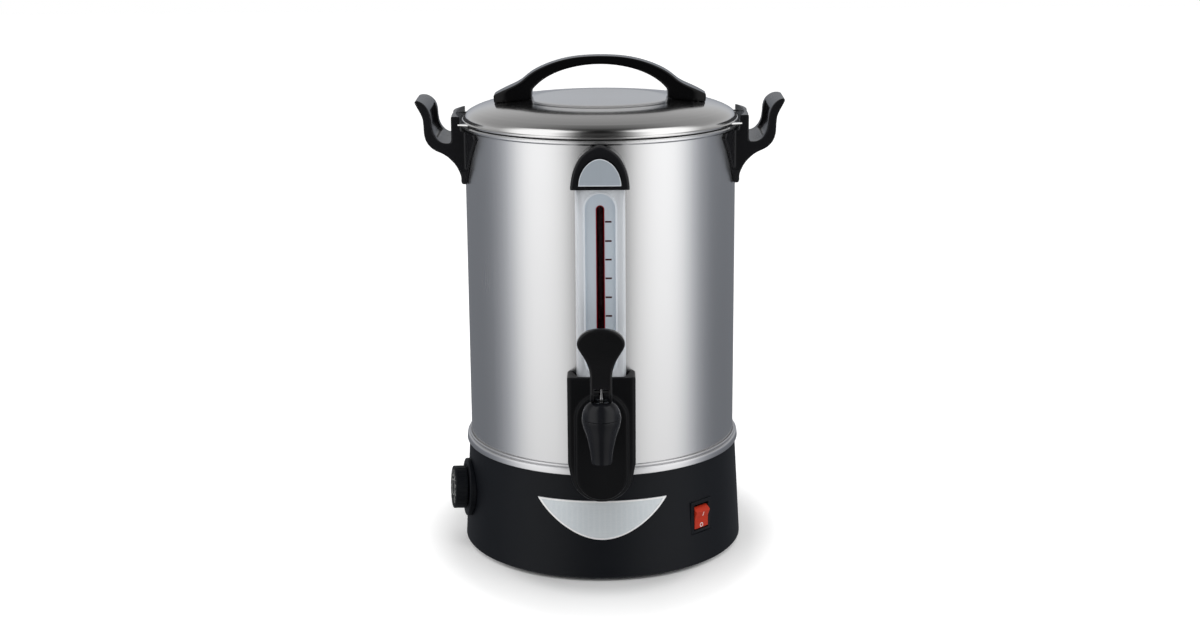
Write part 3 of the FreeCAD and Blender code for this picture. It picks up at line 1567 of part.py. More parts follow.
def make_inlet_body():
    y0 = inlet_seat - inlet_plate
    plate = box(-inlet_half_width, inlet_half_width, y0, inlet_seat,
                inlet_z - inlet_half_height, inlet_z + inlet_half_height)
    plate = soften(plate, 4.0, lambda edge, middle: abs(middle.y - (y0 + inlet_seat) / 2) < 0.1)
    body = box(-inlet_body_half_width, inlet_body_half_width, y0, inlet_seat + inlet_depth,
               inlet_z - inlet_body_half_height, inlet_z + inlet_body_half_height)
    inlet = plate.fuse(body)
    inlet = inlet.cut(box(-socket_half_width, socket_half_width, y0 - 1, y0 + socket_depth,
                          inlet_z - socket_half_height, inlet_z + socket_half_height))
    for x, z in pin_places:
        blade_slot = box(x - 1, x + 1, y0, inlet_seat + inlet_depth + 5, inlet_z + z - 2, inlet_z + z + 2)
        inlet = inlet.cut(blade_slot)
    for side in (-1, 1):
        z = inlet_z + side * inlet_screw_half
        inlet = inlet.cut(rod_y(inlet_screw_radius + clear, y0 - 1, inlet_seat + 1, 0, z))
        inlet = inlet.cut(rod_y(inlet_screw_head + clear, y0 - 1, y0 + 1.4, 0, z))
    return turned(inlet, inlet_azimuth)


def make_inlet_pins():
    y0 = inlet_seat - inlet_plate
    pins = []
    for x, z in pin_places:
        back = inlet_seat + inlet_depth + tab_reach
        blade = box(x - 1, x + 1, y0 + 4, back, inlet_z + z - 2, inlet_z + z + 2)
        pins.append(turned(blade, inlet_azimuth))
    return pins


def make_inlet_screws():
    screw = pan_screw(inlet_screw_head, 1.3, inlet_screw_radius, inlet_screw_length + 0.5)
    screws = []
    for side in (-1, 1):
        at = V(0, inlet_seat - inlet_plate + 0.1, inlet_z + side * inlet_screw_half)
        screws.append(turned(placed(screw, at, V(0, 1, 0)), inlet_azimuth))
    return screws


# Internal leads

def bent_tube(route, radius, bend):
    """Round tube along straight runs, with a tangent arc of the same radius at each corner."""
    edges = []
    here = route[0]
    for k in range(1, len(route) - 1):
        into = (route[k] - route[k - 1]).normalize()
        away = (route[k + 1] - route[k]).normalize()
        turn = math.acos(max(-1.0, min(1.0, into.dot(away))))
        room = bend * math.tan(turn / 2)
        start = route[k] - into * room
        end = route[k] + away * room
        inward = (away - into).normalize()
        middle = route[k] + inward * (bend / math.cos(turn / 2) - bend)
        edges.append(Part.LineSegment(here, start).toShape())
        edges.append(Part.Arc(start, middle, end).toShape())
        here = end
    edges.append(Part.LineSegment(here, route[-1]).toShape())
    path = Part.Wire(edges)
    first = (route[1] - route[0]).normalize()
    section = Part.Wire(Part.makeCircle(radius, route[0], first))
    return path.makePipeShell([section], True, True)


def around(azimuth, distance, z, sideways=0.0):
    """World point from an azimuth, a distance from the axis, a height and a sideways offset."""
    a = math.radians(azimuth)
    outward = V(math.sin(a), -math.cos(a), 0)
    along = V(math.cos(a), math.sin(a), 0)
    point = outward * distance + along * sideways
    return V(point.x, point.y, z)


def make_leads():
    """Insulated leads between the inlet, switch, thermostat, cut-out, element and earth point."""
    inlet_back = -(inlet_seat + inlet_depth + tab_reach)
    switch_back = -(switch_seat + switch_body_depth + tab_reach)
    thermostat_back = thermostat_front + thermostat_depth + tab_reach
    neutral, live, earth = [(x, inlet_z + z) for x, z in pin_places]
    left_leg = element_leg(-1)
    right_leg = element_leg(1)
    blade_end = element_leg_end - 15
    tab_z = plate_bottom_z - cutout_height - 6
    stud = around(stud_azimuths[1], stud_ring, shield_z - nut_height - 0.4)
    earth_run = V(stud.x - 17.0, stud.y - 9.0, stud.z)
    earth_end = stud + (earth_run - stud).normalize() * 4.9
    routes = [
        [
            around(inlet_azimuth, inlet_back, live[1], live[0]),
            around(inlet_azimuth, inlet_back - 13, live[1], live[0]),
            around(100, 60, blade_end - 31),
            around(switch_azimuth, switch_back - 18, switch_z - switch_tab_z),
            around(switch_azimuth, switch_back, switch_z - switch_tab_z),
        ],
        [
            around(switch_azimuth, switch_back, switch_z + switch_tab_z),
            around(switch_azimuth, switch_back - 16, switch_z + switch_tab_z),
            knob_wall_point(-9, thermostat_back + 16, knob_z + 6),
            knob_wall_point(-9, thermostat_back, knob_z + 6),
        ],
        [
            knob_wall_point(9, thermostat_back, knob_z + 6),
            knob_wall_point(9, thermostat_back + 14, knob_z + 6),
            V(-lead_hole_x, 0, shield_z - 18),
            V(-lead_hole_x, 0, tab_z),
        ],
        [
            V(lead_hole_x, 0, tab_z),
            V(lead_hole_x, 0, shield_z - 14),
            V(left_leg.x, left_leg.y - 12, blade_end - 17),
            V(left_leg.x, left_leg.y, blade_end - 17),
            V(left_leg.x, left_leg.y, blade_end),
        ],
        [
            around(inlet_azimuth, inlet_back, neutral[1], neutral[0]),
            around(inlet_azimuth, inlet_back - 16, neutral[1], neutral[0]),
            V(right_leg.x - 9, right_leg.y - 6, blade_end - 14),
            V(right_leg.x, right_leg.y, blade_end - 15),
            V(right_leg.x, right_leg.y, blade_end),
        ],
        [
            around(inlet_azimuth, inlet_back, earth[1], earth[0]),
            around(inlet_azimuth, inlet_back - 14, earth[1], earth[0]),
            V(44, 62, shield_z - 26),
            earth_run,
            earth_end,
        ],
    ]
    leads = [bent_tube(route, lead_radius, lead_bend) for route in routes]
    ring_low = shield_z - nut_height - 0.8
    eyelet = tube(6.0, stud_radius + clear, ring_low, ring_low + 0.8, stud.x, stud.y)
    leads[-1] = leads[-1].fuse(eyelet)
    return leads


# Values that several pieces share
cap_screw_radius = 2.0
cap_screw_z = cap_top_z - 14.0
cap_screw_reach = 14.0
cap_screw_boss = 4.4
handle_screw_z = rim_z - handle_screw_drop
handle_screw_reach = 14.5
post_inner = tank_radius + post_inner_gap
cover_screw_radius = 2.0
cover_screw_head = 4.0
cover_screw_head_height = 2.4
foot_stem_radius = 2.2
foot_ring = base_radius(foot_stand) - foot_inset
gasket_inner_y = math.sqrt(tank_inner ** 2 - shank_block ** 2) - gasket_thick
tap_socket_depth = 8.0
collar_z = seat_z + cup_height + 1.0
knob_base = base_radius(knob_z)
knob_tip = math.degrees(math.atan((base_flare_bottom - base_flare_top) / base_height))
hub_radius = 7.0
hub_length = 3.4
knob_web = 3.0
knob_back = -(knob_base + bezel_proud + knob_gap)
thermostat_front = -(knob_base - base_wall - 3.2)
thermostat_screw_radius = 1.9
thermostat_head_radius = 3.6
thermostat_head_y = -(knob_base - 3.4)
bulb_ring = shield_radius + bulb_radius
switch_seat = -(base_radius(switch_z) - 1.9)
switch_body_half_width = switch_window_half_width + 1.9
switch_body_half_height = switch_window_half_height + 1.7
switch_pivot = switch_seat - switch_plate - 0.3 + rocker_valley * math.cos(math.radians(rocker_tilt))
trunnion_reach = switch_window_half_width + 1.2
inlet_seat = -(base_radius(inlet_z + inlet_half_height) - 1.0)
inlet_screw_radius = 1.5
inlet_screw_head = 3.0
inlet_screw_length = 8.0
pin_places = ((2.0, 7.0), (2.0, -7.0), (-2.0, 0.0))
lead_hole_x = 5.5
lid_washer_low = lid_screw_place_z() - 1.25
lid_screw_top = lid_washer_low + lid_screw_length + 0.6


def main():
    os.makedirs("parts", exist_ok=True)
    save("tank_shell", make_tank_shell())
    save("tank_floor", make_tank_floor())
    save("base_trim_ring", make_trim_ring())
    save("base_shell", make_base_shell())
    save("bottom_cover", make_bottom_cover())
    save("bottom_cover_screws", *make_cover_screws())
    save("rubber_feet", *make_feet())
    save("nameplate", make_nameplate())
    save("heating_plate", make_heating_plate())
    save("heating_element", make_element())
    save("element_terminals", *make_element_terminals())
    save("tie_studs", *make_tie_studs())
    save("stud_nuts", *make_stud_nuts())
    save("heat_shield", make_heat_shield())
    save("thermal_cutout", make_cutout())
    save("cutout_bracket", make_cutout_bracket())
    save("lid_shell", make_lid_shell())
    save("lid_locating_ring", make_locating_ring())
    save("lid_seal", make_lid_seal())
    save("lid_handle", make_lid_handle())
    save("lid_handle_screws", *make_lid_screws())
    save("lid_handle_washers", *make_lid_washers())
    right_handle = make_side_handle()
    save("side_handle_right", right_handle)
    save("side_handle_left", mirrored_x(right_handle))
    save("side_handle_screws", *make_handle_screws())
    save("gauge_cover", make_gauge_cover())
    save("gauge_scale_plate", make_scale_plate())
    save("sight_tube", make_sight_tube())
    save("sight_tube_bushes", *make_tube_bushes())
    save("gauge_backing", make_gauge_backing())
    save("gauge_cap", make_gauge_cap())
    save("gauge_cap_inlay", make_gauge_inlay())
    save("gauge_cap_screw", make_cap_screw())
    save("tap_housing", make_tap_housing())
    save("tap_shank", make_gauge_shank())
    save("tap_gaskets", *make_gaskets())
    save("tap_shank_nut", make_shank_nut())
    save("tap_body", make_tap_body())
    save("tap_bonnet", make_bonnet())
    save("valve_stem", make_valve_stem())
    save("valve_seat_cup", make_seat_cup())
    save("valve_spring", make_valve_spring())
    save("tap_lever", make_lever())
    save("lever_pin", make_lever_pin())
    save("knob_bezel", make_knob_bezel())
    save("thermostat_knob", make_knob())
    save("knob_face", make_knob_face())
    save("thermostat_shaft", make_thermostat_shaft())
    save("thermostat_body", make_thermostat_body())
    save("thermostat_screws", *make_thermostat_screws())
    save("thermostat_bulb", make_bulb())
    save("bulb_clips", *make_bulb_clips())
    save("switch_frame", make_switch_frame())
    save("switch_rocker", make_rocker())
    save("inlet_body", make_inlet_body())
    save("inlet_pins", *make_inlet_pins())
    save("inlet_screws", *make_inlet_screws())
    save("internal_leads", *make_leads())


if __name__ == "__main__":
    main()
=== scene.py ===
import json
import math

import bmesh
import bpy
from mathutils import Matrix, Vector


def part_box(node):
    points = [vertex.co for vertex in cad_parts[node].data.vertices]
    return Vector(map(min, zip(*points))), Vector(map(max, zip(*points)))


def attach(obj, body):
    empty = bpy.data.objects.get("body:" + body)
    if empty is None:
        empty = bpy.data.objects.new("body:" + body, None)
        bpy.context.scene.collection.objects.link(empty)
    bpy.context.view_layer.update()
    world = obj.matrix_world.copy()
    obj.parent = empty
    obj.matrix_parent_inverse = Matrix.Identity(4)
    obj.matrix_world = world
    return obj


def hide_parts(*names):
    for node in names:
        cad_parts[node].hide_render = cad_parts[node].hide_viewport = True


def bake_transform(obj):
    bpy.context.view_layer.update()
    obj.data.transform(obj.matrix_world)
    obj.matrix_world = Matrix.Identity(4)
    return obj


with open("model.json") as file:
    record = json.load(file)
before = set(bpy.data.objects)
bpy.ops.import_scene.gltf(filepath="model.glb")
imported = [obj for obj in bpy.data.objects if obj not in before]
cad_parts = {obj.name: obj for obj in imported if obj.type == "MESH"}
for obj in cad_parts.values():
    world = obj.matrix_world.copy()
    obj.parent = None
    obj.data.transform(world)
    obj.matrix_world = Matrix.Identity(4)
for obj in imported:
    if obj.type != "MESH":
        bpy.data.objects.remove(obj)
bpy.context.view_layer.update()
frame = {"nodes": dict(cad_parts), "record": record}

# The looks of the drinks urn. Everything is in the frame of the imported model: +Z up, the tap faces -Y.
# Lengths below are in millimetres unless they say otherwise. Blender's own are metres.

MM = 0.001
NODES = frame["nodes"]
BODY = {node: body for body, nodes in frame["record"]["behaviour"]["bodies"].items() for node in nodes}
SLOT = {part["node"]: part["material_slot"] for part in frame["record"]["subparts"]}

# Camera in metres and radians, fitted to the outlines of the tank, rims and ring in the 1200 by 630 picture
CAMERA_PLACE = (0.006, -1.710, 0.6445)
CAMERA_PITCH = 0.2455
CAMERA_ROLL = -0.0075
CAMERA_YAW = 0.00427
FOCAL_PIXELS = 1858.9
PICTURE_WIDTH = 1200.0
SENSOR = 36.0

# The base wall, which leans in towards its top, and the sheet of the nameplate on it, whose raised rim is
# coloured white as a painted highlight
WALL_FOOT = 132.4
WALL_LOW = 2.5
WALL_LEAN = 5.6 / 100.5
PLATE_FACE = 0.98
PLATE_RIM = 1.15

# Meshes: how many steps go round a turned part, how near points are joined or count as in line, and the
# azimuth in degrees at which each section is taken
TURN_STEPS = 256
NODE_WELD = 2e-3
AXIS_WELD = 1e-4
STRAIGHT = 2e-3
TANK_SECTION = 152.3
LID_SECTION = 20.0

# The trim ring's outline: radii, and heights under its top or above its foot
BEAD = ((125.2, -0.9), (125.8, -0.35), (126.4, -0.1), (126.9, -0.35), (127.25, -0.9), (127.3, -1.5),
        (127.1, -2.0), (126.7, -2.3), (127.4, -2.6), (128.2, -2.9), (128.7, -3.5), (129.0, -4.8))
BAND_FOOT = ((129.3, 0.5), (128.9, 0.0), (128.3, 0.0))
BAND_BACK = ((128.0, -4.6), (126.2, -3.3), (125.2, -2.2))

# The lid's raised disc, whose edge is rolled over softly, and the ears at its sides
DISC_RADIUS = 66.0
DISC_STEP = 0.9
DISC_DROP = 1.07
DISC_EASE = 6.0
DISC_PITCH = 0.75
DISC_SAMPLES = 24
DOME_SLOPE = 0.064
EAR_ROOT = 117.78
EAR_EDGE = 40.5
EAR_TIP_WIDTH = 3.0
EAR_ROOT_WIDTH = 7.0
EAR_SINK = 0.5

# The level gauge: its cover, window, slot and marks, and the cap with its inlay
COVER_HALF = 19.5
FLANK_SHARE = 0.5
GAUGE_FRONT = 140.0
WINDOW_HALF = 13.3
WINDOW_LOW = 196.3
WINDOW_TOP = 358.2
RIM_OUTSIDE = 1.5
RIM_CREST = 0.9
RIM_INSIDE = -0.1
PLATE_FRONT = 138.5
SLOT_HALF = 3.75
SLOT_LOW = 207.5
SLOT_TOP = 347.9
LIP_OUTSIDE = -0.03
LIP_INSIDE = -0.65
MARK_HEIGHTS = (333.4, 316.5, 300.1, 283.5, 266.6, 249.9, 233.3, 216.7)
MARK_MIDDLE = 7.0
MARK_WIDTH = 5.6
MARK_THICKNESS = 1.55
CROWN_START = 389.0
CROWN_SHARE = 0.82
CROWN_POWER = 1.9
CROWN_STEPS = 20
CAP_FRONT = 148.0
INLAY_HALF = 18.3
INLAY_LOW = 366.0
INLAY_TOP = 389.3
INLAY_RIM = 0.6

# The gauge's raised details: foot and top, measured outward from the plane of each
LIP_REACH = (-1.1, 0.25)
INLAY_REACH = (-0.9, -0.45)
INLAY_RIM_REACH = (-0.9, -0.3)
RIM_SLOPE_REACH = (-0.8, 0.05)
RIM_INSIDE_REACH = (-1.3, 0.55)

# The thermostat's knob: its place on the base wall, and the figures and ticks on its face
KNOB_AZIMUTH = -78.0
KNOB_TIP = 3.1893
KNOB_BASE = 129.486
KNOB_Z = 54.8
KNOB_FACE_OUT = 15.9
DIAL_COUNT = 9
DIAL_FIRST = 30
DIAL_STEP = 10
DIAL_SWEEP = 270.0
FIGURE_RING = 11.6
FIGURE_SIZE = 3.6
FIGURE_STEPS = 3
TICK_RING = 15.6
TICK_SIZE = (0.55, 2.6)
HALF_TICK_RING = 16.1
HALF_TICK_SIZE = (0.4, 1.5)
DIAL_CIRCLE = (7.6, 7.1)
DIAL_CIRCLE_STEPS = 48

# The rocker: its pivot, the valley between its two faces, and the marks on them
SWITCH_AZIMUTH = 44.4
SWITCH_PIVOT = 123.57
SWITCH_Z = 47.9
ROCKER_VALLEY = 7.0
ROCKER_TILT = 10.0
ON_BAR = (1.1, 3.7, 1.0, 4.4)
OFF_PLACE = (0.0, -7.1)
OFF_RING = (2.1, 1.35)
OFF_RING_STEPS = 40

# How far a printed mark is sunk into its face and stands out of it
PRINT = (-0.05, 0.06)
DIAL_PRINT = (-0.04, 0.05)

# Nodes shown as soft mouldings: voxel size and rounds of smoothing
MOULDINGS = (
    ("lid_handle", 0.8, 6),
    ("side_handle_left", 0.75, 6),
    ("side_handle_right", 0.75, 6),
    ("gauge_cap", 0.5, 4),
    ("tap_housing", 0.6, 14),
    ("tap_body", 0.4, 4),
    ("tap_lever", 0.4, 5),
    ("knob_bezel", 0.45, 3),
    ("thermostat_knob", 0.4, 4),
)

# Nodes whose outward edges are rounded, and the width of the rounding. Angles in degrees
EASE_SEGMENTS = 2
EASE_ANGLE = 30.0
FLAT_ANGLE = 0.6
EASED = (
    ("tap_bonnet", 0.7),
    ("gauge_cover", 0.5),
    ("switch_frame", 0.5),
    ("inlet_body", 0.4),
    ("switch_rocker", 0.3),
)

# Finishes: the fine grain's share in brushed lines, the scale of their broad grain, how far the gloss
# wanders, and the depth of the bumps in metres
FINE_SHARE = 0.6
BROAD_SCALE = 0.13
CLOUD_GLOSS = 0.012
TURNED_GLOSS = 0.02
FLOW_GLOSS = 0.025
GRAIN_GLOSS = 0.02
PLATE_GLOSS = 0.03
LUMP_GLOSS = 0.06
BRUSHED_DEPTH = 0.00004
TURNED_DEPTH = 0.00003
GRAIN_DEPTH = 0.00002
LUMP_DEPTH = 0.00006

# The studio's walls and panels. Angles are in degrees from straight in front. A ramp gives the level of light
# at heights, each being the z of a direction
PANEL_MIDDLE = 52.5
PANEL_HALF = 20.5
PANEL_FADE = 14.0
PANEL_LEAN = 20.0
PANEL_SPREAD = 14.0
PANEL_TOP = (0.90, 0.98)
NOTCH = (14.0, 30.0)
NOTCH_LEVEL = 0.14
BACK_WALL = (45.0, 112.0)
FRONT_RAMP = ((-0.85, 0.45), (-0.55, 0.45), (-0.42, 0.78), (-0.15, 0.95), (0.30, 0.62), (0.90, 0.05))
BACK_RAMP = ((-0.85, 0.25), (-0.55, 0.17), (-0.42, 0.17), (-0.10, 0.21), (0.20, 0.60), (0.55, 0.38),
             (0.80, 0.30), (1.0, 0.05))
PANEL_RAMP = ((-0.85, 0.60), (-0.55, 0.55), (-0.42, 0.70), (-0.31, 0.92), (-0.16, 1.34), (0.30, 1.35),
              (0.95, 1.40))
BRIGHTEST = 2.0
WALL_TINT = (0.95, 1.0, 1.10, 1.0)
NO_TINT = (1.0, 1.0, 1.0, 1.0)
TINT_TOP = (0.0, 0.35)
RIGHT_SHIFT = 3.0
RIGHT_GAIN = 1.06

# The soft box overhead, in metres and watts
LAMP_WATTS = 12.0
LAMP_PLACE = (0.0, -0.2, 1.9)
LAMP_TARGET = (0.0, 0.0, 0.2)
LAMP_SIZE = (1.4, 1.0)

# The floor, in metres: its half width, and the light added for the camera at each distance from the axis,
# held back near the object as a painted shadow, narrowed to the sides
FLOOR_HALF = 6.0
FLOOR_GREY = (0.82, 0.82, 0.82, 1.0)
FLOOR_ROUGH = 0.9
SHADOW_RAMP = ((0.0, 0.0), (0.147, 0.0), (0.157, 0.064), (0.1665, 0.149), (0.1756, 0.211), (0.1935, 0.262),
               (0.215, 0.32), (0.260, 0.60))
SHADOW_NARROW = 1.5


# Node trees

class Tree:
    """A node tree, with short ways to add nodes and wire them."""

    def __init__(self, tree):
        self.tree = tree

    def feed(self, socket, value):
        """Wire a socket's value into an input, or set the input to a plain value."""
        if isinstance(value, bpy.types.NodeSocket):
            self.tree.links.new(value, socket)
        else:
            socket.default_value = value

    def wire(self, node, inputs):
        """Feed a node's inputs. Each is named with an underscore for a space."""
        for key, value in inputs.items():
            self.feed(node.inputs[key.replace("_", " ")], value)

    def node(self, kind, settings=(), **inputs):
        made = self.tree.nodes.new(kind)
        for key, value in dict(settings).items():
            setattr(made, key, value)
        self.wire(made, inputs)
        return made

    def calc(self, operation, *values):
        made = self.node("ShaderNodeMath", {"operation": operation})
        for socket, value in zip(made.inputs, values):
            self.feed(socket, value)
        return made.outputs[0]

    def radius(self, x, y):
        return self.calc("SQRT", self.calc("ADD", self.calc("MULTIPLY", x, x), self.calc("MULTIPLY", y, y)))

    def remap(self, value, low, high, from_low=0.3, from_high=0.7, kind="LINEAR"):
        made = self.node("ShaderNodeMapRange", {"interpolation_type": kind}, Value=value, From_Min=from_low,
                         From_Max=from_high, To_Min=low, To_Max=high)
        return made.outputs["Result"]

    def step(self, value, low, high):
        """0 below low, 1 above high, smooth between."""
        return self.remap(value, 0.0, 1.0, low, high, "SMOOTHSTEP")

    def between(self, factor, a, b):
        return self.calc("ADD", self.calc("MULTIPLY", self.calc("SUBTRACT", 1.0, factor), a),
                         self.calc("MULTIPLY", factor, b))

    def mix(self, factor, a, b):
        """A colour between two colours."""
        made = self.node("ShaderNodeMix", {"data_type": "RGBA"})
        for name, value in (("Factor", factor), ("A", a), ("B", b)):
            self.feed([s for s in made.inputs if s.name == name and s.enabled][0], value)
        return [s for s in made.outputs if s.enabled][0]

    def ramp(self, value, stops, low, high, top=1.0):
        """A level for each value from low to high, from stops of (value, level) with no level above top."""
        made = self.node("ShaderNodeValToRGB")
        elements = made.color_ramp.elements
        while len(elements) < len(stops):
            elements.new(0.5)
        for element, (place, level) in zip(elements, stops):
            element.position = (place - low) / (high - low)
            element.color = (level / top, level / top, level / top, 1.0)
        self.feed(made.inputs[0], self.calc("DIVIDE", self.calc("SUBTRACT", value, low), high - low))
        return self.calc("MULTIPLY", made.outputs[0], top)

    def choose(self, factor, a, b):
        """One of two shaders, or something between."""
        made = self.node("ShaderNodeMixShader")
        for socket, value in zip(made.inputs, (factor, a.outputs[0], b.outputs[0])):
            self.feed(socket, value)
        return made


class Shader(Tree):
    """A material with one Principled shader, in the object's own coordinates."""

    def __init__(self, name):
        self.material = bpy.data.materials.new(name)
        self.material.use_nodes = True
        super().__init__(self.material.node_tree)
        self.bsdf = self.tree.nodes["Principled BSDF"]
        self.place = self.node("ShaderNodeTexCoord").outputs["Object"]

    def principled(self, **inputs):
        self.wire(self.bsdf, inputs)

    def split(self):
        return self.node("ShaderNodeSeparateXYZ", Vector=self.place).outputs

    def scaled(self, scale):
        """The object's coordinates, scaled along each axis."""
        return self.node("ShaderNodeMapping", Vector=self.place, Scale=scale).outputs["Vector"]

    def noise(self, scale, detail=2.0, roughness=0.5, vector=None, distortion=0.0):
        made = self.node("ShaderNodeTexNoise", Vector=vector or self.place, Scale=scale, Detail=detail,
                         Roughness=roughness, Distortion=distortion)
        return made.outputs["Fac"]

    def around(self, value, middle, half):
        """Noise spread evenly about a middle value."""
        return self.remap(value, middle - half, middle + half)

    def bump(self, height, strength, distance):
        made = self.node("ShaderNodeBump", Height=height, Strength=strength, Distance=distance)
        return made.outputs["Normal"]


# Materials

def rgba(colour, gain=1.0):
    return tuple(min(1.0, c * gain) for c in colour) + (1.0,)


def brushed(name, colour, rough, grain, spread=0.04, strength=0.03, anisotropic=0.4, metallic=1.0,
            depth=0.02):
    """Satin metal with fine lines. grain is the scale of the lines' noise along x, y and z."""
    s = Shader(name)
    lines = s.noise(1.0, 3.0, 0.62, s.scaled(grain))
    broad = s.noise(1.0, 2.0, 0.5, s.scaled(tuple(g * BROAD_SCALE for g in grain)))
    cloud = s.noise(7.0, 3.0, 0.55)
    both = s.calc("ADD", s.calc("MULTIPLY", lines, FINE_SHARE), s.calc("MULTIPLY", broad, 1.0 - FINE_SHARE))
    tones = rgba(colour, 1.0 - depth), rgba(colour, 1.0 + depth)
    gloss = s.calc("ADD", s.around(both, rough, spread / 2), s.around(cloud, 0.0, CLOUD_GLOSS))
    s.principled(Base_Color=s.mix(s.remap(both, 0.0, 1.0), *tones), Metallic=metallic, Roughness=gloss,
                 Anisotropic=anisotropic, Normal=s.bump(both, strength, BRUSHED_DEPTH))
    return s.material


def turned_steel(name, colour, rough, pitch):
    """Satin metal whose fine lines run in circles round the tank's axis."""
    s = Shader(name)
    x, y, z = s.split()
    ring = s.node("ShaderNodeCombineXYZ", X=s.calc("MULTIPLY", s.radius(x, y), pitch),
                  Z=s.calc("MULTIPLY", z, pitch))
    lines = s.noise(1.0, 3.0, 0.6, ring.outputs["Vector"])
    cloud = s.noise(9.0, 3.0, 0.55)
    gloss = s.calc("ADD", s.around(lines, rough, TURNED_GLOSS), s.around(cloud, 0.0, CLOUD_GLOSS))
    s.principled(Base_Color=s.mix(s.remap(lines, 0.0, 1.0), rgba(colour, 0.97), rgba(colour, 1.02)),
                 Metallic=1.0, Roughness=gloss,
                 Anisotropic=0.3, Anisotropic_Rotation=0.25, Normal=s.bump(lines, 0.04, TURNED_DEPTH))
    return s.material


def plastic(name, colour, rough, grain=2600.0, strength=0.12, spec=0.5, alpha=1.0):
    """Moulded plastic: fine grain, faint flow marks in the gloss and a little wear in the colour."""
    s = Shader(name)
    fine = s.noise(grain, 2.0, 0.6)
    flow = s.noise(34.0, 4.0, 0.6, distortion=0.6)
    haze = s.noise(9.0, 3.0, 0.5)
    pale = rgba(tuple(c * 1.12 + 0.0005 for c in colour))
    gloss = s.calc("ADD", s.around(flow, rough, FLOW_GLOSS), s.around(fine, 0.0, GRAIN_GLOSS))
    s.principled(Base_Color=s.mix(s.remap(haze, 0.0, 1.0), rgba(colour, 0.93), pale), Roughness=gloss,
                 Specular_IOR_Level=spec, Alpha=alpha, Normal=s.bump(fine, strength, GRAIN_DEPTH))
    return s.material


def rimmed_plate(name, colour, rim_highlight_colour, rough):
    """Satin silver sheet whose raised rim, told by its height above the base wall, is coloured bright as a
    painted highlight.
    """
    s = Shader(name)
    x, y, z = s.split()
    lean = s.calc("MULTIPLY", s.calc("SUBTRACT", z, WALL_LOW * MM), WALL_LEAN)
    proud = s.calc("SUBTRACT", s.radius(x, y), s.calc("SUBTRACT", WALL_FOOT * MM, lean))
    # Where the sheet stands out past these heights it takes the rim's colour: a painted highlight along its
    # raised edge
    rim = s.remap(proud, 0.0, 1.0, PLATE_FACE * MM, PLATE_RIM * MM)
    lines = s.noise(1.0, 3.0, 0.62, s.scaled((60.0, 1600.0, 1600.0)))
    face = s.mix(s.remap(lines, 0.0, 1.0), rgba(colour, 0.97), rgba(colour, 1.03))
    s.principled(Base_Color=s.mix(rim, face, rgba(rim_highlight_colour)), Metallic=0.3,
                 Roughness=s.around(lines, rough, PLATE_GLOSS), Normal=s.bump(lines, 0.04, TURNED_DEPTH))
    return s.material


def cast(name, colour, rough, metallic=0.0, scale=700.0, strength=0.3):
    """Rough cast or fired surface."""
    s = Shader(name)
    lumps = s.noise(scale, 4.0, 0.65)
    cloud = s.noise(30.0, 3.0, 0.5)
    s.principled(Base_Color=s.mix(s.remap(cloud, 0.0, 1.0), rgba(colour, 0.88), rgba(colour, 1.08)),
                 Metallic=metallic, Roughness=s.around(lumps, rough, LUMP_GLOSS),
                 Normal=s.bump(lumps, strength, LUMP_DEPTH))
    return s.material


ALONG_TANK = (1500.0, 1500.0, 16.0)
ALONG_GAUGE = (1500.0, 1500.0, 60.0)
INSIDE = (900.0, 900.0, 40.0)
ROUND_STEM = (800.0, 800.0, 4000.0)
EVEN = (900.0, 900.0, 900.0)
FINE_EVEN = (1500.0, 1500.0, 1500.0)

